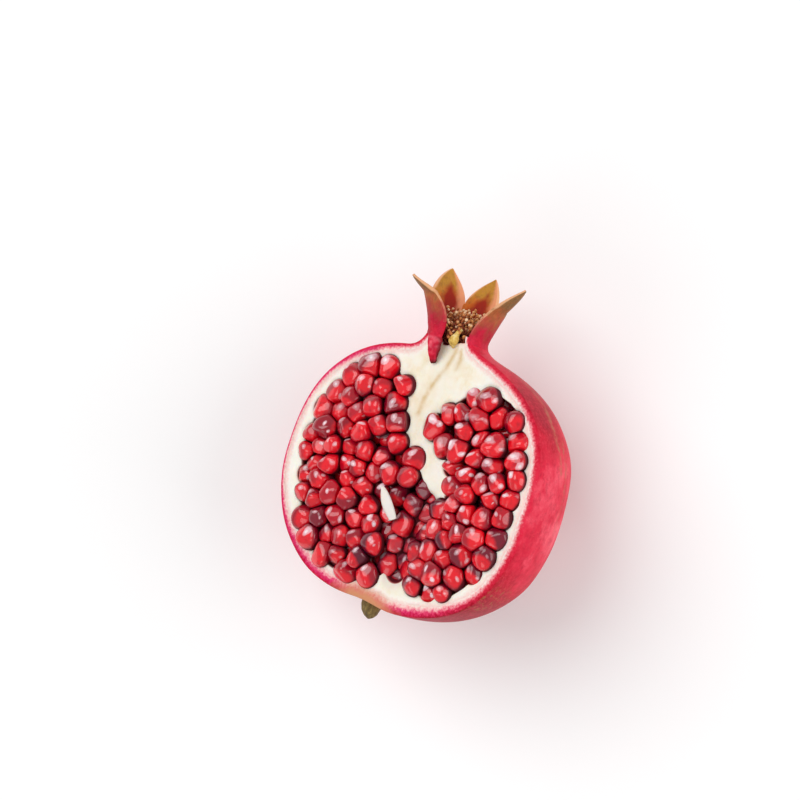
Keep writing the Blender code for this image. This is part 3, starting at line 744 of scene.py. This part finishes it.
def natural(points, seeds=(1, 2, 3), size=UNEVENNESS_SIZE):
    """Points with the small unevenness of a grown fruit, by default the same for every layer."""
    shifts = [waves(points, seed, size, 2) for seed in seeds]
    return points + UNEVENNESS * np.stack(shifts, axis=-1)


def closeness(points, place, sizes):
    """1 at a place, falling to 0 a few times those sizes away from it."""
    return bell(np.linalg.norm((points - place) / sizes, axis=1), 1.0)


def path_distance(points, paths, count):
    """Distances to the nearest of some paths, each taken as that many places."""
    gap = np.full(len(points), 1e3)
    for path in paths:
        for place in path_places(path, count):
            gap = np.minimum(gap, np.linalg.norm(points - place, axis=1))
    return gap


def path_places(corners, count):
    """Places on straight runs between the corners, as many on each run."""
    corners = np.array(corners, dtype=float)
    at = np.linspace(0.0, len(corners) - 1.0, count)
    return np.stack([np.interp(at, np.arange(len(corners)), column) for column in corners.T], axis=-1)


def skin_blush(points):
    """How pink the skin is: crimson at the right shoulder, a pink painted sheen below it, and painted shade
    towards the stem.
    """
    blush = 0.5 + 0.26 * waves(points, 11, 38.0, 3)
    for place, sizes, pinker in BLUSH_PATCHES:
        blush += pinker * closeness(points, place, sizes)
    return blush


def skin_values(points):
    """What the skin's colour depends on at each point."""
    return {
        "blush": skin_blush(points),
        "scar": bell(path_distance(points, SCARS, 90), 1.2),
        "dry": closeness(points, DRY_SPOT, DRY_SIZES),
        "freckle": closeness(points, FRECKLES, FRECKLE_SIZES),
    }


def skin_piece():
    """The red skin, cut off at the face, with its own rim rolled over the cut edge."""
    columns, rows = 400, 230
    angle = np.linspace(0.0, 2 * math.pi, columns, endpoint=False)
    share = np.linspace(0.004, 1.0, rows)
    points = skin_points(angle[None, :], share[:, None]).reshape(-1, 3)
    bm = bmesh.new()
    whole = bpy.data.meshes.new("whole skin")
    whole.from_pydata(points, [], grid_faces(rows, columns, closed=True))
    bm.from_mesh(whole)
    geometry = [*bm.verts, *bm.edges, *bm.faces]
    cut = (0.0, 0.0, -EDGE_ROUNDING)
    bmesh.ops.bisect_plane(bm, geom=geometry, plane_co=cut, plane_no=(0, 0, 1), clear_outer=True)
    bm.to_mesh(whole)
    bm.free()
    skin = np.empty(len(whole.vertices) * 3)
    whole.vertices.foreach_get("co", skin)
    skin = skin.reshape(-1, 3)
    faces = [tuple(face.vertices) for face in whole.polygons]
    edge = face_edge(RIM_STEPS)
    across = inward_of(edge) * rim_widths(edge)[:, None]
    rim = [edge + across * inside + np.array((0.0, 0.0, up)) for inside, up in RIM_PROFILE]
    below = face_edge(RIM_STEPS, -EDGE_ROUNDING)
    turn = np.linspace(0.0, 1.0, EDGE_STEPS, endpoint=False)
    rounding = [below * (1 - t) ** 2 + edge * 2 * t * (1 - t) + rim[0] * t**2 for t in turn]
    rim = rounding + rim
    points = np.concatenate((skin, *rim))
    faces += grid_faces(len(rim), RIM_STEPS, start=len(skin))
    values = skin_values(points)
    inside = [*(RIM_PROFILE[0][0] * turn), *(inside for inside, _ in RIM_PROFILE)]
    values["rim"] = np.concatenate((np.zeros(len(skin)), np.repeat(inside, RIM_STEPS)))
    values["magenta"] = smoothstep(24.0, -14.0, points @ MAGENTA_FADES)
    obj = add_mesh("rind_skin", keep_flat_spot(natural(points)), faces, **values)
    return finish_piece(obj, [skin_finish()], ["rind"])


# Flesh

def chamber_distances(points):
    """Distances to the chambers' outlines, positive inside one of them."""
    left = inside_distance(points, smooth_outline(LEFT_CHAMBER, OUTLINE_POINTS))[0]
    right = inside_distance(points, smooth_outline(RIGHT_CHAMBER, OUTLINE_POINTS))[0]
    return np.maximum(left, right)


def aril_depth(flat):
    """How far inside the nearest aril of the face layer each point of the face is."""
    depth = np.full(len(flat), -1e3)
    for _, corners, seed, _, extra in CHAMBERS:
        places, sizes = face_arils(corners, seed, extra, np.random.default_rng(seed + FACE_SEED_STEP))
        for place, size in zip(places, sizes):
            girth = math.sqrt(max((3.5 * size) ** 2 - place[2] ** 2, 1.0)) + 0.2
            depth = np.maximum(depth, girth - np.linalg.norm(flat - place[:2], axis=1))
    return depth


def opening_depth(flat):
    """How far each point lies up inside the ragged opening to the crown's cup."""
    across = flat[:, 0] - OPENING_LOW[0]
    line = OPENING_LOW[1] + np.where(across > 0.0, 0.34 * across, -1.2 * across)
    ragged = 0.35 * waves(np.column_stack((flat, np.zeros(len(flat)))), 23, 2.6, 3)
    return flat[:, 1] - line - ragged


def flesh_piece():
    """The cream flesh across the face, down round the arils and up to the crown's cup."""
    edge = face_edge(RIM_STEPS)
    border = edge + inward_of(edge) * 0.75 * rim_widths(edge)[:, None]
    border = border[border[:, 1] < PITH_TOP]
    closing = np.linspace(border[-1], border[0], 24)[1:-1]
    loop = np.concatenate((border, closing))
    steps = 190
    share = (np.arange(1, steps + 1) / steps) ** 0.85
    points = np.concatenate(((0.0, 0.0, 0.0), (share[:, None, None] * loop).reshape(-1))).reshape(-1, 3)
    flat = points[:, :2]
    distance = chamber_distances(flat)
    cleft = bell(cleft_distance(flat), CLEFT_WIDTH)
    into_arils = aril_depth(flat)
    into_cup = opening_depth(flat)
    drop = np.maximum(smoothstep(1.7, 3.2, distance), smoothstep(0.0, 0.8, into_arils) * (distance > -5.0))
    rise = 0.22 * bell(into_arils + 0.9, 0.8) + 0.16 * waves(points, 21, 9.0, 3)
    cup = CUP_DEPTH * smoothstep(0.0, 2.4, into_cup)
    points[:, 2] = -0.1 + rise - BED_DEPTH * drop - CLEFT_DEPTH * cleft - cup
    brim = np.repeat(share, len(loop)) > 0.995
    points[1:, 2] = np.where(brim, np.minimum(points[1:, 2], -0.2), points[1:, 2])
    faces = grid_faces(steps, len(loop), closed=True, start=1)
    fan = [(0, 1 + i, 1 + (i + 1) % len(loop)) for i in range(len(loop))]
    outward = np.repeat(share, len(loop))
    lengths = np.tile(np.linalg.norm(loop[:, :2], axis=1), steps)
    from_edge = np.concatenate(((1e3,), (1.0 - outward) * lengths))
    # The veins' narrow line is their own colour; their broad halo is painted shade.
    veins = path_distance(flat, VEINS, 80)
    # The hollows that get painted shade: where the flesh drops under the arils and along the torn membrane.
    bed = np.maximum(drop, smoothstep(0.3, 0.8, cleft))
    obj = add_mesh(
        "flesh", natural(points), faces + fan,
        edge=bell(from_edge, EDGE_STAIN), vein=bell(veins, 0.8) + 0.35 * bell(veins, 3.2),
        bed=np.maximum(bed, smoothstep(0.0, 0.9, into_cup)), dry=closeness(points, DRY_SPOT, DRY_SIZES),
    )
    return finish_piece(obj, [flesh_finish()], ["pith"])


# Arils

def unit_ball(subdivisions):
    bm = bmesh.new()
    bmesh.ops.create_icosphere(bm, subdivisions=subdivisions, radius=1.0)
    points = np.array([vert.co[:] for vert in bm.verts])
    faces = [[vert.index for vert in face.verts] for face in bm.faces]
    bm.free()
    return unit(points), faces


def aril_shape(directions, size, planes, draw):
    """Distances from an aril's middle to its skin: a tilted egg pressed flat by its neighbours."""
    along = directions @ unit(draw.normal(size=3))
    reach = size * ARIL_RADIUS * (1.0 + ARIL_EGG * along**2)
    total = reach**-ARIL_SHARPNESS
    for normal, distance in planes:
        facing = np.maximum(directions @ normal, 0.02)
        total = total + (distance / facing) ** -ARIL_SHARPNESS
    return total ** (-1.0 / ARIL_SHARPNESS)


def facets(size, draw):
    """Random flats on the free upper side."""
    planes = []
    for _ in range(draw.integers(4, 7)):
        lean, turn = draw.uniform(0.1, 1.2), draw.uniform(0.0, 2 * math.pi)
        normal = np.array((math.sin(lean) * math.cos(turn), math.sin(lean) * math.sin(turn), math.cos(lean)))
        planes.append((normal, size * draw.uniform(*FACET_DEPTHS)))
    return planes


def face_arils(corners, seed, extra, draw):
    """Middles and sizes of the arils at the face, some raised, and sunk where the torn membrane stands."""
    places, sizes = aril_centres(corners, seed)
    places[:, 2] += draw.uniform(-0.9, 1.2, size=len(places))
    sizes = sizes * draw.uniform(0.98, 1.14, size=len(places))
    for middle, push, reach in ARIL_NUDGES:
        near = bell(np.linalg.norm(places[:, :2] - middle, axis=1), reach)
        places[:, :2] += np.outer(near, push)
    for place in extra:
        places = np.vstack((places, place))
        sizes = np.append(sizes, draw.uniform(0.8, 1.0))
    seen = np.array((PHOTO_RIGHT, PHOTO_UP)).T
    spine = SLIVER_TOP + (SLIVER_BOTTOM - SLIVER_TOP) * np.linspace(0.0, 1.0, 12)[:, None]
    gaps = np.linalg.norm((places @ seen)[:, None] - spine @ seen, axis=-1).min(axis=1)
    places[:, 2] -= 4.2 * smoothstep(SLIVER_ROOM, SLIVER_ROOM - 1.2, gaps)
    return places, sizes


def pale_spots(ball, growth, draw):
    """Where the seed shows through an aril, painted as pale highlight spots on its lit and far sides: 1 at a
    spot's middle, 0.5 at its edge.
    """
    best = np.zeros(len(ball))
    leanings = [ARIL_LIT_SIDE]
    if draw.uniform() < 0.55:
        leanings.append(ARIL_FAR_SIDE)
    for number, leaning in enumerate(leanings):
        middle = unit(draw.normal(size=3) * 0.22 + leaning)
        across = unit(np.cross(middle, draw.normal(size=3)))
        long_side = growth * draw.uniform(0.34, 0.58) * (1.0 if number == 0 else 0.6)
        short_side = long_side * draw.uniform(0.45, 0.85)
        offset = np.hypot(ball @ across / long_side, ball @ np.cross(middle, across) / short_side)
        best = np.maximum(best, np.where(ball @ middle > 0.0, 1.0 - 0.5 * offset, 0.0))
    return best


def aril_bunch(name, corners, seed, node, extra, finish):
    """A chamber's arils: the layer at the face and a second one in the gaps below it."""
    outline = smooth_outline(corners, OUTLINE_POINTS)
    draw = np.random.default_rng(seed + FACE_SEED_STEP)
    upper, upper_sizes = face_arils(corners, seed, extra, draw)
    lower, lower_sizes = aril_centres(corners, seed + LOWER_SEED_STEP)
    lower[:, 2] += LOWER_LAYER
    centres = np.concatenate((upper, lower))
    sizes = np.concatenate((upper_sizes, lower_sizes))
    walls, near = inside_distance(centres[:, :2], outline)
    bunch = Bunch()
    for i, centre in enumerate(centres):
        ball, ball_faces = FINE_BALL if i < len(upper) else COARSE_BALL
        planes = facets(sizes[i], draw)
        apart = centres - centre
        gaps = np.linalg.norm(apart, axis=1)
        for k in np.flatnonzero((gaps > 0.0) & (gaps < NEIGHBOUR_REACH)):
            touching = gaps[k] * sizes[i] / (sizes[i] + sizes[k])
            planes.append((apart[k] / gaps[k], touching - NEIGHBOUR_GAP))
        if ARIL_INSET - 1.0 < walls[i] < WALL_REACH:
            outward = np.append(near[i] - centre[:2], 0.0)
            planes.append((unit(outward), walls[i] + draw.uniform(*WALL_ROOM)))
        reach = aril_shape(ball, sizes[i], planes, draw)
        recess = bell(cleft_distance(centre[None, :2])[0], RECESS_REACH)
        low = smoothstep(6.0, -24.0, centre[1] - 0.5 * centre[0])
        # shade: a random tone, darker towards the lower left, and darker near the torn membrane and in the
        # second layer as painted shade in those hollows.
        shade = draw.beta(3.6, 2.0) - 0.06 - 0.35 * recess - 0.22 * low - (0.25 if i >= len(upper) else 0.0)
        # pale: how strong an aril's seed spots and painted highlights are, weaker in the recess by the torn
        # membrane.
        pale = draw.uniform(0.2, 0.95) * (1.0 - 0.6 * recess) * (0.0 if draw.uniform() < 0.12 else 1.0)
        # leaning: the side where each aril's painted glow lies.
        leaning = draw.normal(size=3) * 0.35 + (0.35, -0.35, 0.55)
        growth = 0.94 + 0.50 * smoothstep(0.0, 18.0, centre[0]) * smoothstep(0.0, 16.0, centre[1])
        # contact paints shade on the lower side of each aril.
        bunch.add(
            centre + ball * reach[:, None], ball_faces, shade=shade, core=pale_spots(ball, growth, draw),
            pale=pale, dull=0.8 * recess * draw.uniform(), contact=smoothstep(0.42, -0.05, ball[:, 2]),
            glow=smoothstep(0.0, 0.95, ball @ unit(leaning)),
        )
    return finish_piece(bunch.mesh(name), [finish], [node])


# Crown

def around_neck(radius, height, angle):
    return around_axis(radius, height, angle) + NECK_SHIFT


def ring_radius(angle, share):
    """The crown ring's radius from its bottom, share 0, to the notches between sepals, share 1."""
    near = np.clip(np.abs(angle - BENT_ANGLE) / BENT_REACH, 0.0, 1.0)
    bent = np.cos(near * math.pi / 2) ** 2
    flare = (CROWN_NOTCH_RADIUS - NECK_RADIUS) * share**1.5
    return NECK_RADIUS + flare + BENT_SPREAD * bent * (0.3 + 0.7 * share)


def sepal_points(bounds, leans, tip, taper_power, bend):
    """One sector of the ring with its sepal, and how far along, across and near its brim each point is."""
    row = np.arange(-HEM_ROWS, RING_ROWS + SEPAL_ROWS + 1)[:, None]
    across = np.linspace(-1.0, 1.0, SEPAL_COLUMNS + 1)[None, :]
    blade = np.maximum(0.0, (row - RING_ROWS) / SEPAL_ROWS) * np.ones_like(across)
    up = np.clip(row / RING_ROWS, 0.0, 1.0)
    low, high = (math.radians(bound) + math.radians(lean) * up**2 for bound, lean in zip(bounds, leans))
    angle = (low + high) / 2 + across * (high - low) / 2
    ring = ring_radius(angle, up)
    height = NECK_TOP + (CROWN_NOTCH - NECK_TOP) * up * np.ones_like(across)
    notch = ring_radius(angle, 1.0)
    end_radius, end_height = tip
    bend_radius = notch + bend * (end_radius - notch)
    bend_height = CROWN_NOTCH + 0.6 * (end_height - CROWN_NOTCH)
    radius = notch * (1 - blade) ** 2 + bend_radius * 2 * blade * (1 - blade) + end_radius * blade**2
    rise = CROWN_NOTCH * (1 - blade) ** 2 + bend_height * 2 * blade * (1 - blade) + end_height * blade**2
    radius = np.where(blade > 0.0, radius, ring)
    height = np.where(blade > 0.0, rise, height)
    taper = (1.0 - 0.97 * blade**taper_power) * ring_radius(angle, 1.0) / radius
    angle = (low + high) / 2 + across * (high - low) / 2 * np.where(blade > 0.0, taper, 1.0)
    keel = 0.5 * np.sin(np.minimum(blade, 1.0) * math.pi) * (1.0 - across**2)
    points = around_neck(radius + keel, height, angle)
    near = np.linspace(0.0, 1.0, HEM_ROWS, endpoint=False)[:, None]
    hem = skin_points(angle[:HEM_ROWS], HEM_SHARE + (1.0 - HEM_SHARE) * near)
    outward = np.stack((np.cos(angle), np.zeros_like(angle), np.sin(angle)), axis=-1)[:HEM_ROWS]
    points[:HEM_ROWS] = hem + outward * (0.04 + (ring[:HEM_ROWS] - NECK_RADIUS) * near**2)[..., None]
    brim = np.abs(across) ** 3 * smoothstep(-0.1, 0.25, blade)
    along = np.maximum(row, 0) / (RING_ROWS + SEPAL_ROWS) * np.ones_like(across)
    side = across * np.ones_like(along)
    return points, along, 1.0 - np.abs(side), brim, side


def crown_piece():
    """The crown's ring and sepals with the torn flap, as one sheet given its thickness."""
    bm = bmesh.new()
    keys = ("along", "middle", "brim", "side", "blush", "torn")
    layers = {key: bm.verts.layers.float.new(key) for key in keys}
    weights = bm.verts.layers.deform.new()
    hem = None
    for k, tip in enumerate(SEPAL_TIPS):
        bounds = SEPAL_BOUNDS[k:k + 2]
        points, *values = sepal_points(bounds, SEPAL_LEANS[k], tip, SEPAL_TAPERS[k], SEPAL_BENDS[k])
        flat = natural(points.reshape(-1, 3))
        blush = skin_blush(flat).reshape(points.shape[:2])
        points = flat.reshape(points.shape)
        rows = []
        for j in range(len(points)):
            row = []
            for i in range(len(points[j])):
                vert = bm.verts.new(points[j][i])
                for key, value in zip(keys, (*values, blush)):
                    vert[layers[key]] = value[j][i]
                vert[weights][0] = 1.0 - 0.5 * max(0.0, (j - HEM_ROWS - RING_ROWS) / SEPAL_ROWS)
                row.append(vert)
            rows.append(row)
        bridge_rows(bm, rows)
        hem = hem or rows[0][:FLAP_COLUMNS]
    torn_flap(bm, hem, layers, weights)
    bmesh.ops.remove_doubles(bm, verts=bm.verts, dist=0.02)
    mesh = bpy.data.meshes.new("crown_sepals")
    bm.to_mesh(mesh)
    bm.free()
    mesh.transform(LYING)
    mesh.shade_smooth()
    obj = add_object("crown_sepals", mesh)
    group = obj.vertex_groups.new(name="thickness")
    wall = obj.modifiers.new("wall", "SOLIDIFY")
    wall.thickness = CROWN_WALL * MM
    wall.offset = 1.0
    wall.vertex_group = group.name
    wall.material_offset = 1
    wall.material_offset_rim = 2
    finer = obj.modifiers.new("finer", "SUBSURF")
    finer.levels = finer.render_levels = 1
    outer = sepal_finish("sepal outside", (0.46, 0.105, 0.038), (0.22, 0.13, 0.055))
    inner = sepal_finish("sepal inside", (0.62, 0.14, 0.020), (0.48, 0.23, 0.030), (0.30, 0.010, 0.008))
    edge = sepal_finish("sepal edge", (0.82, 0.40, 0.22), (0.56, 0.32, 0.14))
    return finish_piece(obj, [inner, outer, edge], ["crown"])


def bridge_rows(bm, rows):
    for lower, upper in zip(rows, rows[1:]):
        for i in range(len(lower) - 1):
            bm.faces.new((lower[i], lower[i + 1], upper[i + 1], upper[i]))


def torn_flap(bm, hem, layers, weights):
    """A ragged tongue of skin from the hem of the ring down onto the cut face."""
    draw = np.random.default_rng(41)
    top = np.array(hem[len(hem) // 4].co)
    shares = np.linspace(0.0, 1.0, FLAP_ROWS + 1)
    widths = np.interp(shares, np.linspace(0.0, 1.0, len(FLAP_HALF_WIDTHS)), FLAP_HALF_WIDTHS)
    rows = [hem]
    for share, width in zip(shares[1:], widths[1:]):
        flat = smoothstep(0.0, 0.3, share)
        middle = top + (FLAP_TIP - top) * share
        row = []
        for i, vert in enumerate(hem):
            across = 1.0 - 2.0 * i / (len(hem) - 1)
            ragged = draw.uniform(-0.4, 0.4) * abs(across) * share
            lying = middle + FLAP_ACROSS * (width * across + ragged)
            hanging = middle + np.array(vert.co) - top
            place = hanging + (lying - hanging) * flat
            place[2] += 0.5 * math.sin(math.pi * share) - 0.25 * across**2 + 0.2 * draw.uniform(-1.0, 1.0)
            new = bm.verts.new(place)
            new[layers["blush"]] = draw.uniform(0.4, 1.1)
            new[layers["brim"]] = 0.75 * max(0.0, -across) ** 2 * draw.uniform(0.6, 1.0)
            torn = smoothstep(0.30, 0.90, across) * share**0.3
            new[layers["torn"]] = max(smoothstep(0.80, 1.0, share), torn)
            new[weights][0] = 0.7 - 0.25 * share
            row.append(new)
        rows.append(row)
    bridge_rows(bm, rows[::-1])


# Stamens and stem

def tube_points(path, radii, sides):
    """A tapering tube's points, row by row, and its faces with closed ends."""
    path = np.asarray(path)
    along = unit(np.gradient(path, axis=0))
    across = unit(np.cross(along, (0.3, 0.1, 1.0)))
    other = np.cross(along, across)
    angle = 2 * math.pi * np.arange(sides) / sides
    ring = across[:, None] * np.cos(angle)[:, None] + other[:, None] * np.sin(angle)[:, None]
    points = path[:, None] + ring * np.asarray(radii)[:, None, None]
    faces = grid_faces(len(path), sides, closed=True)
    faces.append(tuple(range(sides))[::-1])
    faces.append(tuple(range((len(path) - 1) * sides, len(path) * sides)))
    return points.reshape(-1, 3), faces


def stamens_piece():
    """The crown's crumpled bunch of dry stamens, with the pistil's golden foot in front."""
    draw = np.random.default_rng(31)
    bunch = Bunch()
    low, high = STAMEN_ENDS
    steps = np.linspace(0.0, 1.0, STAMEN_STEPS)[:, None]
    for k in range(STAMEN_COUNT):
        out = math.sqrt((k + 0.5) / STAMEN_COUNT)
        angle = k * GOLDEN_ANGLE
        root = around_neck(STAMEN_ROOT_SPREAD * out, STAMEN_ROOTS, angle)
        root[2] = min(root[2], STAMEN_ROOT_LEVEL)
        reach = STAMEN_SPREAD * out * draw.uniform(0.6, 1.0)
        drop = STAMEN_FRONT_DROP * max(0.0, math.sin(angle)) * out
        end = around_neck(reach, draw.uniform(low, high - drop), angle + draw.uniform(-0.9, 0.9))
        path = root + (end - root) * steps
        for waviness, size in ((1, 1.0), (2, 0.9), (3, 0.6)):
            path = path + np.sin(steps * waviness * math.pi) * draw.normal(size=3) * size
        path[-3:] = path[-4] + unit(draw.normal(size=3) + (0.0, 0.8, 0.4)) * ANTHER_STEPS
        radii = np.full(STAMEN_STEPS, draw.uniform(0.08, 0.15))
        radii[-4:] = ANTHER_SHAPE * draw.uniform(0.36, 0.56)
        tube, faces = tube_points(path, radii, 6)
        tip = np.repeat(smoothstep(0.55, 0.95, steps[:, 0]), 6)
        height = smoothstep(44.0, 53.0, tube[:, 1])
        shade = draw.uniform(0.0, 0.22) + 0.26 * height + tip * draw.uniform(0.15, 0.75)
        bunch.add(tube, faces, shade=shade, fresh=0.0)
    at = np.linspace(0.0, len(PISTIL_RADII) - 1.0, PISTIL_STEPS)
    radii = np.interp(at, np.arange(len(PISTIL_RADII)), PISTIL_RADII)
    tube, faces = tube_points(path_places(PISTIL, PISTIL_STEPS), radii, 16)
    bunch.add(natural(tube, (51, 52, 53), 2.4), faces, shade=0.8, fresh=1.0)
    return finish_piece(bunch.mesh("dry_stamens"), [stamen_finish()], ["stamens"])


def stem_piece():
    """The short woody stub, ridged and tapered to a narrow, capped end."""
    rows, sides = 26, 48
    share = np.linspace(0.0, 1.0, rows)[:, None]
    angle = np.linspace(0.0, 2 * math.pi, sides, endpoint=False)[None, :]
    size = np.interp(share, *zip(*STUB_TAPER))
    ridges = 1.0 + 0.05 * np.sin(5 * angle + 2.0 * share) + 0.03 * np.sin(11 * angle)
    radius = STUB_RADIUS * size * ridges
    height = -STEM_END + STEM_DIMPLE_DEPTH - 0.5 - STUB_LENGTH * share
    points = around_axis(radius, height, angle)
    points[..., 0] += 0.3 + 0.6 * share
    faces = grid_faces(rows, sides, closed=True)
    faces.append(tuple(range((rows - 1) * sides, rows * sides)))
    obj = add_mesh("woody_stub", natural(points.reshape(-1, 3)), faces)
    return finish_piece(obj, [stub_finish()], ["stem_stub"])


def sliver_piece(finish):
    """The torn white membrane that stands up between the arils, rooted deep in the flesh below them."""
    rows, columns = 26, 14
    along = np.linspace(0.0, 1.0, rows)[:, None]
    across = np.linspace(0.0, 1.0, columns)[None, :]
    spine = SLIVER_TOP + (SLIVER_BOTTOM - SLIVER_TOP) * along[..., None]
    width = SLIVER_WIDTH * np.sin(math.pi * (0.03 + 0.78 * along**0.85)) ** 0.9
    bow = np.array((-0.8, -0.6, 0.0)) * np.sin(math.pi * along[..., None])
    points = spine + bow + SLIVER_SIDE * (across[..., None] - 0.45) * width[..., None]
    root = SLIVER_ROOT * (1.0 - across) ** 10 * np.sin(math.pi * along) ** 0.5
    points[..., 2] += 2.0 * (across - 0.5) ** 2 - root
    count = rows * columns
    front = points.reshape(-1, 3)
    back = front - np.array((0.0, 0.0, SLIVER_THICKNESS))
    faces = grid_faces(rows, columns)
    faces += [face[::-1] for face in grid_faces(rows, columns, start=count)]
    border = [*range(columns), *range(2 * columns - 1, count, columns)]
    border += [*range(count - 2, count - columns - 1, -1), *range(count - 2 * columns, 0, -columns)]
    faces += [(a, b, b + count, a + count) for a, b in zip(border, border[1:] + border[:1])]
    zeros = np.zeros(2 * count)
    points = np.concatenate((front, back))
    obj = add_mesh("torn_membrane", points, faces, edge=zeros + 0.3, vein=zeros, bed=zeros, dry=zeros)
    return finish_piece(obj, [finish])


# Stage

def to_world(direction):
    return (LYING.to_3x3() @ Vector(direction)).normalized()


def soft_sun(name, direction, spread, strength):
    """Even soft light from that direction, spread over that many degrees."""
    across, up, out = direction
    where = (CAMERA_RIGHT * across + CAMERA_UP * up + CAMERA_OUT * out).normalized()
    data = bpy.data.lights.new(name, "SUN")
    data.angle = math.radians(spread)
    data.energy = strength
    light = add_object(name, data)
    light.rotation_mode = "QUATERNION"
    light.rotation_quaternion = where.to_track_quat("Z", "Y")


def add_stage():
    floor = bpy.data.meshes.new("floor")
    floor.from_pydata([(-3, -3, 0), (3, -3, 0), (3, 3, 0), (-3, 3, 0)], [], [(0, 1, 2, 3)])
    pale = Finish("pale floor", {"Base Color": (0.97, 0.97, 0.97, 1.0), "Roughness": 0.9})
    floor.materials.append(pale.material)
    ground = add_object("floor", floor)
    world = bpy.data.worlds.new("studio")
    world.use_nodes = True
    background = world.node_tree.nodes["Background"]
    background.inputs["Color"].default_value = (1.0, 1.0, 1.0, 1.0)
    background.inputs["Strength"].default_value = WORLD_LIGHT
    bpy.context.scene.world = world
    for sun in SUNS:
        soft_sun(*sun)
    bpy.context.scene.view_settings.view_transform = "Standard"


def add_camera():
    data = bpy.data.cameras.new("photograph")
    data.sensor_width = 36.0
    data.lens = CAMERA_LENS
    camera = add_object("photograph", data)
    across, up = CAMERA_TARGET
    target = LYING @ (PHOTO_RIGHT * across + PHOTO_UP * up)
    turn = Matrix((CAMERA_RIGHT, CAMERA_UP, CAMERA_OUT)).transposed().to_4x4()
    camera.matrix_world = Matrix.Translation(target + CAMERA_OUT * CAMERA_DISTANCE) @ turn
    bpy.context.scene.camera = camera


LYING = lying_matrix()
PHOTO_RIGHT = Vector((0.763, 0.335, -0.550)).normalized()
PHOTO_UP = Vector((-0.304, 0.940, 0.150))
PHOTO_UP = (PHOTO_UP - PHOTO_RIGHT * PHOTO_UP.dot(PHOTO_RIGHT)).normalized()
CAMERA_RIGHT = to_world(PHOTO_RIGHT)
CAMERA_UP = to_world(PHOTO_UP)
CAMERA_OUT = CAMERA_RIGHT.cross(CAMERA_UP)
FINE_BALL = unit_ball(4)
COARSE_BALL = unit_ball(3)

skin_piece()
pith = flesh_piece()
aril = aril_finish()
for chamber in CHAMBERS:
    aril_bunch(*chamber, aril)
crown_piece()
stamens_piece()
stem_piece()
sliver_piece(pith.data.materials[0])
add_stage()
add_camera()
